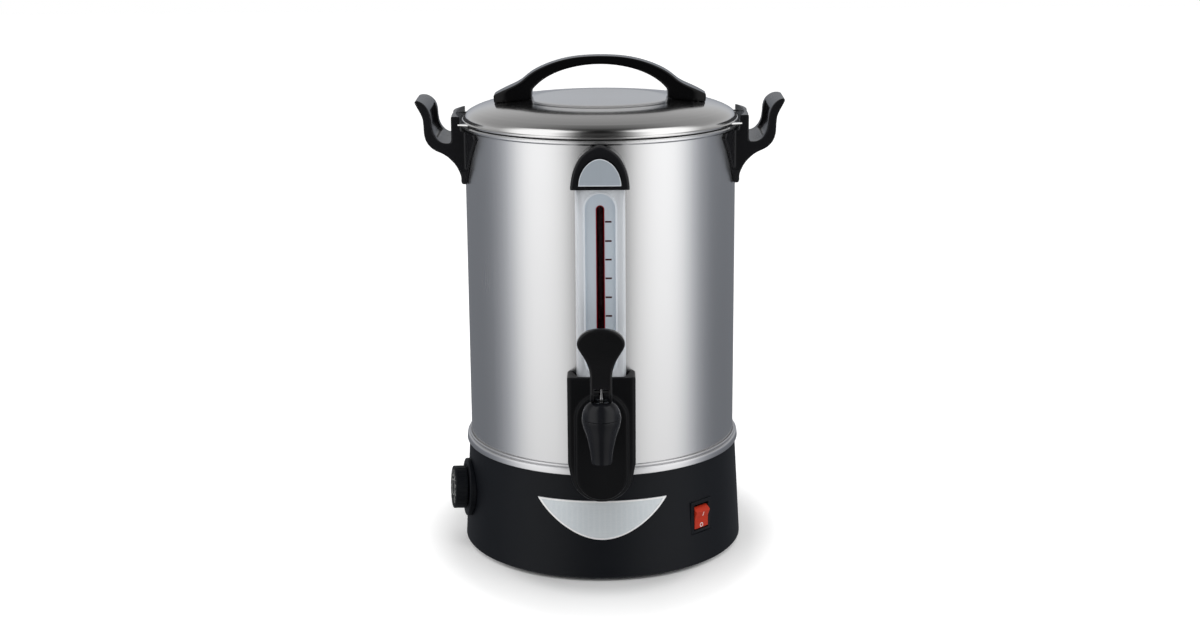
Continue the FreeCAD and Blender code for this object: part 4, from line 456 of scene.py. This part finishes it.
SURFACES = {
    "brushed_steel_body": brushed("tank_steel", (0.74, 0.74, 0.745), 0.26, ALONG_TANK, 0.014, 0.006,
                                  depth=0.010),
    "lid_steel": turned_steel("lid_steel", (0.70, 0.695, 0.69), 0.16, 2600.0),
    "bright_trim": turned_steel("trim_steel", (0.62, 0.62, 0.63), 0.30, 3200.0),
    "inner_steel": brushed("inner_steel", (0.60, 0.60, 0.60), 0.30, INSIDE),
    # The nameplate's rim colour is white: a painted highlight
    "satin_plate": rimmed_plate("plate_silver", (0.72, 0.77, 0.80), (1.0, 1.0, 1.0), 0.42),
    "gauge_silver": brushed("gauge_silver", (0.76, 0.79, 0.83), 0.34, ALONG_GAUGE, 0.04, 0.02, 0.1, 0.1),
    "cap_silver": brushed("inlay_silver", (0.49, 0.55, 0.61), 0.44, ALONG_GAUGE, 0.04, 0.02, 0.1, 0.3),
    "black_plastic": plastic("base_black", (0.0048, 0.0060, 0.0086), 0.46, strength=0.08, spec=0.17),
    "black_gloss": plastic("handle_black", (0.0080, 0.0082, 0.0098), 0.24, 3800.0, 0.03, spec=0.24),
    "tap_black": plastic("tap_black", (0.0060, 0.0060, 0.0068), 0.30, 3800.0, 0.03, spec=0.24),
    "knob_dial": plastic("dial_black", (0.006, 0.006, 0.006), 0.5, spec=0.25),
    "black_rubber": plastic("foot_rubber", (0.010, 0.010, 0.010), 0.72, 1500.0, 0.25, spec=0.2),
    "silicone": plastic("silicone", (0.62, 0.61, 0.57), 0.5, 1500.0, 0.1),
    "red_backing": plastic("red_strip", (0.31, 0.020, 0.030), 0.35, spec=0.25),
    "red_rocker": plastic("rocker_red", (0.52, 0.036, 0.014), 0.32, 3000.0, 0.02, spec=0.2),
    "clear_tube": plastic("clear_tube", (0.02, 0.006, 0.009), 0.10, 60.0, 0.02, alpha=0.3),
    "chrome_stem": brushed("stem_chrome", (0.42, 0.42, 0.43), 0.16, ROUND_STEM, 0.03, 0.02, 0.0),
    "spring_steel": brushed("spring_steel", (0.62, 0.62, 0.63), 0.20, EVEN, 0.05, 0.03, 0.0),
    "zinc_screws": brushed("zinc", (0.60, 0.61, 0.60), 0.28, EVEN, 0.08, 0.04, 0.0),
    "cast_aluminium": cast("cast_aluminium", (0.55, 0.55, 0.55), 0.48, 1.0),
    "element_tube": cast("element_sheath", (0.34, 0.33, 0.32), 0.42, 1.0, 400.0),
    "ceramic": cast("ceramic", (0.80, 0.77, 0.70), 0.55),
    "brown_phenolic": plastic("brown_phenolic", (0.11, 0.055, 0.03), 0.4, 900.0, 0.2),
    "copper_line": cast("copper", (0.72, 0.38, 0.24), 0.30, 1.0, 500.0, 0.1),
    "brass_pins": cast("brass", (0.78, 0.63, 0.34), 0.25, 1.0, 500.0, 0.08),
    "lead_sheath": plastic("lead_sheath", (0.38, 0.075, 0.035), 0.5, 1800.0, 0.2),
}

SCALE_SILVER = brushed("scale_silver", (0.70, 0.78, 0.86), 0.42, ALONG_GAUGE, 0.04, 0.02, 0.1, 0.3)
# Paler silver for the raised rims round the gauge's window and the cap's inlay: a painted highlight along
# their edges
EDGE_HIGHLIGHT_PAINT = brushed("painted_edge_highlight", (0.90, 0.94, 1.0), 0.24, FINE_EVEN, 0.04, 0.02, 0.0, 0.0)
DARK_PIN = brushed("pin_steel", (0.22, 0.22, 0.23), 0.34, EVEN, 0.05, 0.03, 0.0)
MARK_RED = plastic("mark_red", (0.05, 0.008, 0.013), 0.45, spec=0.25)
MARK_WHITE = plastic("mark_white", (0.78, 0.78, 0.76), 0.5, spec=0.3)
MARK_PALE = plastic("mark_pale", (0.80, 0.62, 0.58), 0.5, spec=0.3)
# The lid handle's black is darker than the side handles' black of the same slot: painted shade, along with a
# glossier finish
SHADED_HANDLE_BLACK = plastic("handle_black_shaded", (0.0026, 0.0026, 0.0030), 0.13, 3800.0, 0.02, spec=0.14)
HOUSING_BLACK = plastic("housing_black", (0.0045, 0.0047, 0.0056), 0.42, 3000.0, 0.05, spec=0.16)
TAP_GLOSS = plastic("tap_gloss", (0.0085, 0.0090, 0.0112), 0.16, 3800.0, 0.02, spec=0.21)

# Nodes whose finish differs a little from the rest of their slot; the lid handle's darker black is partly
# painted shade
NODE_LOOKS = {
    "lever_pin": DARK_PIN,
    "gauge_scale_plate": SCALE_SILVER,
    "lid_handle": SHADED_HANDLE_BLACK,
    "tap_body": TAP_GLOSS,
    "tap_bonnet": TAP_GLOSS,
    "tap_housing": HOUSING_BLACK,
}


def paint(obj, material):
    obj.data.materials.clear()
    obj.data.materials.append(material)


def look_of(node):
    return NODE_LOOKS.get(node, SURFACES[SLOT[node]])


def dress_frame():
    for node in SLOT:
        paint(NODES[node], look_of(node))


# Pieces

def new_object(name, mesh, material):
    made = bpy.data.objects.new(name, mesh)
    bpy.context.scene.collection.objects.link(made)
    paint(made, material)
    return made


def add_piece(name, mesh, body, slot, material=None, nodes=()):
    piece = new_object(name, mesh, material or SURFACES[slot])
    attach(piece, body)
    if nodes:
        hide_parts(*nodes)


def stand_in(name, mesh, node):
    """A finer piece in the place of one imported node."""
    add_piece(name, mesh, BODY[node], SLOT[node], look_of(node), (node,))


def smooth_faces(mesh, sharp=35.0):
    mesh.polygons.foreach_set("use_smooth", [True] * len(mesh.polygons))
    mesh.set_sharp_from_angle(angle=math.radians(sharp))
    mesh.update()


def node_copy(node):
    bm = bmesh.new()
    bm.from_mesh(NODES[node].data)
    bmesh.ops.remove_doubles(bm, verts=bm.verts, dist=NODE_WELD * MM)
    return bm


def mesh_of(bm, name, sharp=35.0):
    mesh = bpy.data.meshes.new(name)
    bm.to_mesh(mesh)
    bm.free()
    smooth_faces(mesh, sharp)
    return mesh


def settled(bm, name, modify, sharp):
    """The mesh of a bmesh after the modifiers that modify() puts on it."""
    mesh = bpy.data.meshes.new(name)
    bm.to_mesh(mesh)
    bm.free()
    work = bpy.data.objects.new(name + "_work", mesh)
    bpy.context.scene.collection.objects.link(work)
    modify(work)
    graph = bpy.context.evaluated_depsgraph_get()
    made = bpy.data.meshes.new_from_object(work.evaluated_get(graph))
    bpy.data.objects.remove(work)
    bpy.data.meshes.remove(mesh)
    made.name = name
    smooth_faces(made, sharp)
    return made


def reshape(bm, node):
    """Small corrections: the gauge cover's flanks stand steeper, and the cap's crown ends at the rim."""
    for v in bm.verts:
        if node == "gauge_cover":
            over = abs(v.co.x) - COVER_HALF * MM
            if over > 0:
                v.co.x = math.copysign(COVER_HALF * MM + over * FLANK_SHARE, v.co.x)
        if node == "gauge_cap":
            over = v.co.z - CROWN_START * MM
            if over > 0:
                v.co.z = CROWN_START * MM + over * CROWN_SHARE


def moulded(node, voxel, rounds):
    """A node's shape with the soft corners of a moulding."""
    bm = node_copy(node)
    reshape(bm, node)

    def modify(work):
        remesh = work.modifiers.new("remesh", "REMESH")
        remesh.mode = "VOXEL"
        remesh.voxel_size = voxel * MM
        smooth = work.modifiers.new("smooth", "SMOOTH")
        smooth.factor = 0.5
        smooth.iterations = rounds
    name = node + "_moulding"
    stand_in(name, settled(bm, name, modify, 180.0), node)


def eased(node, width):
    """A node's shape with its outward edges rounded by a bevel. Hollow corners are left as they are."""
    bm = node_copy(node)
    bmesh.ops.dissolve_limit(bm, angle_limit=math.radians(FLAT_ANGLE), verts=bm.verts, edges=bm.edges)
    reshape(bm, node)
    bm.normal_update()
    weight = bm.edges.layers.float.new("bevel_weight_edge")
    for edge in bm.edges:
        if edge.is_convex and edge.calc_face_angle(0.0) > math.radians(EASE_ANGLE):
            edge[weight] = 1.0

    def modify(work):
        bevel = work.modifiers.new("bevel", "BEVEL")
        bevel.width = width * MM
        bevel.segments = EASE_SEGMENTS
        bevel.limit_method = "WEIGHT"
        bevel.use_clamp_overlap = True
        work.modifiers.new("normals", "WEIGHTED_NORMAL")
    name = node + "_eased"
    stand_in(name, settled(bm, name, modify, 40.0), node)


def make_spring():
    """The valve spring as a smooth-shaded copy of its coil, put in the node's place; its top bears on the
    bonnet.
    """
    coil = new_object("valve_spring_coil", mesh_of(node_copy("valve_spring"), "valve_spring_coil"),
                      look_of("valve_spring"))
    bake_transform(coil)
    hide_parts("valve_spring")


# Turned pieces

def section(node, azimuth):
    """Closed outline of a turned node in the half-plane at an azimuth, as (radius, z). An outline that
    stops short of the axis, on a flat face across it, is carried on to the axis."""
    a = math.radians(azimuth)
    out = Vector((math.sin(a), -math.cos(a), 0.0))
    bm = node_copy(node)
    found = bmesh.ops.bisect_plane(bm, geom=bm.verts[:] + bm.edges[:] + bm.faces[:], dist=1e-8,
                                   plane_co=(0.0, 0.0, 0.0), plane_no=(math.cos(a), math.sin(a), 0.0))
    near = {}
    for edge in found["geom_cut"]:
        if isinstance(edge, bmesh.types.BMEdge) and min(v.co.dot(out) for v in edge.verts) > -1e-6:
            first, second = edge.verts
            near.setdefault(first, []).append(second)
            near.setdefault(second, []).append(first)
    ends = [v for v in near if len(near[v]) == 1]
    here = ends[0] if ends else max(near, key=lambda v: v.co.dot(out))
    walk = [here]
    seen = {here}
    while True:
        following = [v for v in near[here] if v not in seen]
        if not following:
            break
        here = following[0]
        seen.add(here)
        walk.append(here)
    points = [(v.co.dot(out), v.co.z) for v in walk]
    if ends:
        points = [(0.0, points[0][1])] + points + [(0.0, points[-1][1])]
    bm.free()
    return without_middles(points)


def without_middles(points):
    """An outline without the points that lie on a straight line between their neighbours."""
    kept = []
    for k, point in enumerate(points):
        before = Vector(points[k - 1])
        after = Vector(points[(k + 1) % len(points)])
        along = after - before
        off = Vector(point) - before
        if along.length < 1e-9 or abs(along.cross(off)) / along.length > STRAIGHT * MM:
            kept.append(point)
    return kept


def lathe(name, outline):
    """A closed (radius, z) outline turned about the tank's axis."""
    bm = bmesh.new()
    rings = []
    for k in range(TURN_STEPS):
        a = 2 * math.pi * k / TURN_STEPS
        rings.append([bm.verts.new((r * math.sin(a), -r * math.cos(a), z)) for r, z in outline])
    count = len(outline)
    for k, this in enumerate(rings):
        after = rings[(k + 1) % TURN_STEPS]
        for i in range(count):
            j = (i + 1) % count
            bm.faces.new((this[i], this[j], after[j], after[i]))
    bmesh.ops.remove_doubles(bm, verts=bm.verts, dist=AXIS_WELD * MM)
    bmesh.ops.recalc_face_normals(bm, faces=bm.faces)
    return mesh_of(bm, name)


def make_tank():
    mesh = lathe("tank_shell_turned", section("tank_shell", TANK_SECTION))
    stand_in("tank_shell_turned", mesh, "tank_shell")


def make_trim_ring():
    """The ring round the foot of the tank: a rolled bead on top of a plain band, cupped inside."""
    low, high = [corner.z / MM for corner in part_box("base_trim_ring")]
    outline = [(r, high + z) for r, z in BEAD] + [(r, low + z) for r, z in BAND_FOOT]
    outline += [(r, high + z) for r, z in BAND_BACK]
    mesh = lathe("base_trim_ring_turned", [(r * MM, z * MM) for r, z in outline])
    stand_in("base_trim_ring_turned", mesh, "base_trim_ring")


def finer(outline, low, high, pitch):
    """An outline with extra points where it lies between two radii."""
    points = []
    for k, (r, z) in enumerate(outline):
        points.append((r, z))
        end_r, end_z = outline[(k + 1) % len(outline)]
        first, last = sorted((r, end_r))
        if last > low and first < high:
            cuts = int((last - first) / pitch)
            for j in range(1, cuts):
                points.append((r + (end_r - r) * j / cuts, z + (end_z - z) * j / cuts))
    return points


def disc_edge(r):
    """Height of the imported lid's outside near the edge of its disc, under the disc's own level."""
    step = min(1.0, max(0.0, (r - DISC_RADIUS) / DISC_STEP))
    return -step * DISC_DROP - max(0.0, r - DISC_RADIUS - DISC_STEP) * DOME_SLOPE


def lid_outline():
    """The lid's section in metres, with the edge of its raised disc rolled over softly."""
    outline = [(r / MM, z / MM) for r, z in section("lid_shell", LID_SECTION)]
    reach_in, reach_out = DISC_RADIUS - DISC_EASE, DISC_RADIUS + DISC_STEP + DISC_EASE
    shares = [2.0 * k / DISC_SAMPLES - 1.0 for k in range(DISC_SAMPLES + 1)]
    soft = []
    for r, z in finer(outline, reach_in, reach_out, DISC_PITCH):
        if reach_in < r < reach_out:
            z += sum(disc_edge(r + DISC_EASE * share) for share in shares) / len(shares) - disc_edge(r)
        soft.append((r * MM, z * MM))
    return soft


def make_lid():
    """The lid's sheet turned afresh, and its four ears."""
    mesh = lathe("lid_shell_turned", lid_outline())
    bm = bmesh.new()
    bm.from_mesh(mesh)
    packed = node_copy("lid_shell")
    reach = max(v.co.x for v in packed.verts)
    heights = [v.co.z for v in packed.verts if v.co.x > reach - 0.02 * MM]
    packed.free()
    plan = [(EAR_ROOT - EAR_SINK, EAR_EDGE + EAR_ROOT_WIDTH), (reach / MM, EAR_EDGE + EAR_TIP_WIDTH),
            (reach / MM, EAR_EDGE), (EAR_ROOT, EAR_EDGE)]
    for side in (-1, 1):
        for end in (-1, 1):
            rows = [[bm.verts.new((side * x * MM, end * y * MM, z)) for x, y in plan]
                    for z in (min(heights), max(heights))]
            made = [bm.faces.new(rows[0]), bm.faces.new(rows[1])]
            for k in range(len(plan)):
                j = (k + 1) % len(plan)
                made.append(bm.faces.new((rows[0][k], rows[0][j], rows[1][j], rows[1][k])))
            bmesh.ops.recalc_face_normals(bm, faces=made)
    bm.to_mesh(mesh)
    bm.free()
    smooth_faces(mesh)
    stand_in("lid_shell_turned", mesh, "lid_shell")


# Small details, made as flat outlines

def stadium(half, low, high, grow=0.0, steps=16):
    """Upright outline with half-round ends, as (x, z) going round, grown outward on every side."""
    half, low, high = half + grow, low - grow, high + grow
    points = []
    for middle, start in ((high - half, 0.0), (low + half, math.pi)):
        for k in range(steps + 1):
            a = start + math.pi * k / steps
            points.append((half * math.cos(a), middle + half * math.sin(a)))
    return points


def arch(half, low, high, grow=0.0):
    """Outline of the gauge cap: a flat bottom and a crown a little fuller than a parabola."""
    half, low, high = half + grow, low - grow, high + grow
    right = []
    for k in range(CROWN_STEPS):
        share = math.sin(math.pi / 2 * k / CROWN_STEPS)
        across = (1 - share ** CROWN_POWER) ** (1 / CROWN_POWER)
        right.append((half * across, low + (high - low) * share))
    return right + [(0.0, high)] + [(-x, z) for x, z in reversed(right)]


def disc(radius, steps, x=0.0, y=0.0):
    return [(x + radius * math.cos(2 * math.pi * k / steps), y + radius * math.sin(2 * math.pi * k / steps))
            for k in range(steps)]


def bar(x, y, width, height):
    return [(x - width / 2, y - height / 2), (x + width / 2, y - height / 2),
            (x + width / 2, y + height / 2), (x - width / 2, y + height / 2)]


class Relief:
    """Flat shapes in millimetres, each raised a little from a plane and set in place by a matrix."""

    def __init__(self, place):
        self.bm = bmesh.new()
        self.place = place

    def points(self, outline, height, shift, turn):
        c, s = math.cos(turn), math.sin(turn)
        return [self.bm.verts.new(self.place @ Vector(((x * c - y * s + shift[0]) * MM,
                                                       (x * s + y * c + shift[1]) * MM, height * MM)))
                for x, y in outline]

    def walls(self, this, after):
        for k in range(len(this)):
            j = (k + 1) % len(this)
            self.bm.faces.new((this[k], this[j], after[j], after[k]))

    def slab(self, outline, low, high, shift=(0.0, 0.0), turn=0.0):
        below = self.points(outline, low, shift, turn)
        above = self.points(outline, high, shift, turn)
        self.bm.faces.new(above)
        self.bm.faces.new(list(reversed(below)))
        self.walls(below, above)

    def band(self, outer, inner, low, high):
        rows = [self.points(line, height, (0.0, 0.0), 0.0)
                for line, height in ((outer, low), (outer, high), (inner, high), (inner, low))]
        for this, after in zip(rows, rows[1:] + rows[:1]):
            self.walls(this, after)

    def figures(self, text, size, height, shift, turn):
        """Plain figures, centred on a point of the plane."""
        curve = bpy.data.curves.new("figures", "FONT")
        curve.body = text
        curve.size = size * MM
        curve.align_x = "CENTER"
        curve.align_y = "CENTER"
        curve.extrude = height * MM
        curve.resolution_u = FIGURE_STEPS
        work = bpy.data.objects.new("figures_work", curve)
        bpy.context.scene.collection.objects.link(work)
        graph = bpy.context.evaluated_depsgraph_get()
        mesh = bpy.data.meshes.new_from_object(work.evaluated_get(graph))
        mesh.transform(self.place @ Matrix.Translation((shift[0] * MM, shift[1] * MM, 0.0))
                       @ Matrix.Rotation(turn, 4, "Z"))
        self.bm.from_mesh(mesh)
        bpy.data.objects.remove(work)
        bpy.data.curves.remove(curve)
        bpy.data.meshes.remove(mesh)

    def mesh(self, name):
        bmesh.ops.recalc_face_normals(self.bm, faces=self.bm.faces)
        return mesh_of(self.bm, name, 30.0)


def wall_frame(azimuth, tip, radius, z):
    """Matrix of a place on the urn's wall: X to the right, Y up, Z outward, tipped up by some degrees."""
    a, t = math.radians(azimuth), math.radians(tip)
    right = Vector((math.cos(a), math.sin(a), 0.0))
    out = Vector((math.sin(a) * math.cos(t), -math.cos(a) * math.cos(t), math.sin(t)))
    up = out.cross(right)
    place = Matrix((right, up, out)).transposed().to_4x4()
    return Matrix.Translation((radius * math.sin(a) * MM, -radius * math.cos(a) * MM, z * MM)) @ place


def front_plane(radius):
    """The upright plane in front of the tank, in which the gauge's outlines lie."""
    return wall_frame(0.0, 0.0, radius, 0.0)


def make_gauge_details():
    lip = Relief(front_plane(PLATE_FRONT))
    slot = (SLOT_HALF, SLOT_LOW, SLOT_TOP)
    lip.band(stadium(*slot, LIP_OUTSIDE), stadium(*slot, LIP_INSIDE), *LIP_REACH)
    add_piece("slot_lip", lip.mesh("slot_lip"), "urn_body", "red_backing")
    marks = Relief(front_plane(PLATE_FRONT))
    for z in MARK_HEIGHTS:
        marks.slab(bar(MARK_MIDDLE, z, MARK_WIDTH, MARK_THICKNESS), *PRINT)
    add_piece("level_marks", marks.mesh("level_marks"), "urn_body", "red_backing", MARK_RED)
    form = (INLAY_HALF, INLAY_LOW, INLAY_TOP)
    plate = Relief(front_plane(CAP_FRONT))
    plate.slab(arch(*form, -INLAY_RIM), *INLAY_REACH)
    stand_in("gauge_cap_inlay_plate", plate.mesh("gauge_cap_inlay_plate"), "gauge_cap_inlay")
    # The inlay's rim and the window's bead take the paler silver: a painted highlight on their edges
    rim = Relief(front_plane(CAP_FRONT))
    rim.band(arch(*form), arch(*form, -INLAY_RIM), *INLAY_RIM_REACH)
    add_piece("inlay_rim", rim.mesh("inlay_rim"), "urn_body", "cap_silver", EDGE_HIGHLIGHT_PAINT)
    bead = Relief(front_plane(GAUGE_FRONT))
    outer, crest, inner = [stadium(WINDOW_HALF, WINDOW_LOW, WINDOW_TOP, grow, 24)
                           for grow in (RIM_OUTSIDE, RIM_CREST, RIM_INSIDE)]
    bead.band(outer, crest, *RIM_SLOPE_REACH)
    bead.band(crest, inner, *RIM_INSIDE_REACH)
    add_piece("window_rim", bead.mesh("window_rim"), "urn_body", "gauge_silver", EDGE_HIGHLIGHT_PAINT)


def make_knob_details():
    """Plain figures, ticks and half ticks round the face of the knob."""
    base = wall_frame(KNOB_AZIMUTH, KNOB_TIP, KNOB_BASE, KNOB_Z)
    dial = Relief(base @ Matrix.Translation((0, 0, KNOB_FACE_OUT * MM)))

    def at(ring, turn):
        return (-ring * math.sin(turn), ring * math.cos(turn))

    pitch = DIAL_SWEEP / (DIAL_COUNT - 1)
    for k in range(DIAL_COUNT):
        turn = math.radians(DIAL_SWEEP / 2 - pitch * k)
        figure = str(DIAL_FIRST + DIAL_STEP * k)
        dial.figures(figure, FIGURE_SIZE, DIAL_PRINT[1], at(FIGURE_RING, turn), turn)
        dial.slab(bar(0.0, 0.0, *TICK_SIZE), *DIAL_PRINT, at(TICK_RING, turn), turn)
        if k < DIAL_COUNT - 1:
            turn -= math.radians(pitch / 2)
            dial.slab(bar(0.0, 0.0, *HALF_TICK_SIZE), *DIAL_PRINT, at(HALF_TICK_RING, turn), turn)
    outer, inner = [disc(radius, DIAL_CIRCLE_STEPS) for radius in DIAL_CIRCLE]
    dial.band(outer, inner, *DIAL_PRINT)
    add_piece("dial_figures", dial.mesh("dial_figures"), "knob", "knob_dial", MARK_WHITE)


def make_switch_marks():
    """I on the rocker's upper face and O on its lower one."""
    pivot = wall_frame(SWITCH_AZIMUTH, 0.0, SWITCH_PIVOT, SWITCH_Z)
    tilt = Matrix.Rotation(math.radians(ROCKER_TILT), 4, "X")
    valley = pivot @ tilt @ Matrix.Translation((0, 0, ROCKER_VALLEY * MM))
    upper = Relief(valley @ tilt)
    upper.slab(bar(*ON_BAR), *PRINT)
    add_piece("switch_mark_on", upper.mesh("switch_mark_on"), "rocker", "red_rocker", MARK_PALE)
    lower = Relief(valley @ tilt.inverted())
    outer, inner = [disc(radius, OFF_RING_STEPS, *OFF_PLACE) for radius in OFF_RING]
    lower.band(outer, inner, *PRINT)
    add_piece("switch_mark_off", lower.mesh("switch_mark_off"), "rocker", "red_rocker", MARK_WHITE)


def make_pieces():
    make_tank()
    make_trim_ring()
    make_lid()
    for node, voxel, rounds in MOULDINGS:
        moulded(node, voxel, rounds)
    for node, width in EASED:
        eased(node, width)
    make_spring()
    make_gauge_details()
    make_knob_details()
    make_switch_marks()


# Stage

def make_camera():
    data = bpy.data.cameras.new("camera")
    data.sensor_width = SENSOR
    data.lens = FOCAL_PIXELS / PICTURE_WIDTH * SENSOR
    camera = bpy.data.objects.new("camera", data)
    bpy.context.scene.collection.objects.link(camera)
    forward = Vector((-math.sin(CAMERA_YAW) * math.cos(CAMERA_PITCH),
                      math.cos(CAMERA_YAW) * math.cos(CAMERA_PITCH), -math.sin(CAMERA_PITCH)))
    level = Vector((math.cos(CAMERA_YAW), math.sin(CAMERA_YAW), 0.0))
    upright = level.cross(forward)
    right = level * math.cos(CAMERA_ROLL) + upright * math.sin(CAMERA_ROLL)
    up = upright * math.cos(CAMERA_ROLL) - level * math.sin(CAMERA_ROLL)
    turn = Matrix((right, up, -forward)).transposed().to_4x4()
    camera.matrix_world = Matrix.Translation(CAMERA_PLACE) @ turn
    bpy.context.scene.camera = camera


def make_world():
    """White to the camera; soft studio walls with two pale panels to everything else."""
    world = bpy.data.worlds.new("studio")
    bpy.context.scene.world = world
    world.use_nodes = True
    w = Tree(world.node_tree)
    w.tree.nodes.clear()
    direction = w.node("ShaderNodeTexCoord").outputs["Generated"]
    x, y, z = w.node("ShaderNodeSeparateXYZ", Vector=direction).outputs
    side = w.calc("ARCTAN2", w.calc("ABSOLUTE", x), w.calc("MULTIPLY", y, -1.0))
    side = w.calc("MULTIPLY", side, 180.0 / math.pi)
    rising = w.calc("MAXIMUM", z, 0.0)
    right = w.calc("GREATER_THAN", x, 0.0)

    def level(stops):
        return w.ramp(z, stops, -1.0, 1.0, BRIGHTEST)

    middle = w.calc("ADD", w.calc("MULTIPLY_ADD", rising, PANEL_LEAN, PANEL_MIDDLE),
                    w.calc("MULTIPLY", right, RIGHT_SHIFT))
    off = w.calc("ABSOLUTE", w.calc("SUBTRACT", side, middle))
    edge = w.calc("SUBTRACT", off, w.calc("MULTIPLY_ADD", rising, PANEL_SPREAD, PANEL_HALF))
    panel = w.calc("SUBTRACT", 1.0, w.step(edge, -PANEL_FADE, PANEL_FADE))
    panel = w.calc("MULTIPLY", panel, w.calc("SUBTRACT", 1.0, w.step(z, *PANEL_TOP)))
    behind = w.step(side, *BACK_WALL)
    notch = w.calc("MULTIPLY_ADD", w.step(side, *NOTCH), 1.0 - NOTCH_LEVEL, NOTCH_LEVEL)
    wall = w.between(behind, w.calc("MULTIPLY", level(FRONT_RAMP), notch), level(BACK_RAMP))
    light = w.calc("MULTIPLY", level(PANEL_RAMP), w.calc("MULTIPLY_ADD", right, RIGHT_GAIN - 1.0, 1.0))
    low = w.calc("SUBTRACT", 1.0, w.step(z, *TINT_TOP))
    tinted = w.calc("MULTIPLY", low, w.calc("MULTIPLY", behind, w.calc("SUBTRACT", 1.0, panel)))
    studio = w.node("ShaderNodeBackground", Color=w.mix(tinted, NO_TINT, WALL_TINT),
                    Strength=w.between(panel, wall, light))
    white = w.node("ShaderNodeBackground", Color=(1.0, 1.0, 1.0, 1.0))
    seen = w.node("ShaderNodeLightPath").outputs["Is Camera Ray"]
    w.node("ShaderNodeOutputWorld", Surface=w.choose(seen, studio, white).outputs[0])


def make_floor():
    """Pale floor. The camera sees it white, with the object's shadow deepened by a painted shadow near the
    axis; mirrors look past it at the studio.
    """
    h = FLOOR_HALF
    mesh = bpy.data.meshes.new("floor")
    mesh.from_pydata([(-h, -h, 0), (h, -h, 0), (h, h, 0), (-h, h, 0)], [], [(0, 1, 2, 3)])
    s = Shader("floor")
    s.principled(Base_Color=FLOOR_GREY, Roughness=FLOOR_ROUGH, Specular_IOR_Level=0.0)
    path = s.node("ShaderNodeLightPath").outputs
    # The glow the camera sees grows with distance from the axis, taken on an oval narrowed to the sides. Near
    # the object it is held back: a painted shadow
    oval = s.scaled((SHADOW_NARROW, 1.0, 0.0))
    away = s.node("ShaderNodeVectorMath", {"operation": "LENGTH"}, Vector=oval)
    painted_shadow_glow = s.ramp(away.outputs["Value"], SHADOW_RAMP, 0.0, SHADOW_RAMP[-1][0])
    seen = s.choose(path["Is Camera Ray"], s.node("ShaderNodeEmission", Strength=0.0),
                    s.node("ShaderNodeEmission", Strength=painted_shadow_glow))
    both = s.node("ShaderNodeAddShader")
    s.feed(both.inputs[0], s.bsdf.outputs[0])
    s.feed(both.inputs[1], seen.outputs[0])
    shown = s.choose(path["Is Glossy Ray"], both, s.node("ShaderNodeBsdfTransparent"))
    s.feed(s.tree.nodes["Material Output"].inputs["Surface"], shown.outputs[0])
    floor = new_object("floor", mesh, s.material)


def make_lamp():
    """One soft box overhead. Mirrors don't see it."""
    data = bpy.data.lights.new("top_box", "AREA")
    data.shape = "RECTANGLE"
    data.size, data.size_y = LAMP_SIZE
    data.energy = LAMP_WATTS
    lamp = bpy.data.objects.new("top_box", data)
    bpy.context.scene.collection.objects.link(lamp)
    lamp.location = LAMP_PLACE
    lamp.rotation_euler = (Vector(LAMP_TARGET) - Vector(LAMP_PLACE)).to_track_quat("-Z", "Y").to_euler()
    lamp.visible_glossy = False


def make_stage():
    make_camera()
    make_world()
    make_floor()
    make_lamp()
    bpy.context.scene.view_settings.view_transform = "Standard"


make_stage()
dress_frame()
make_pieces()
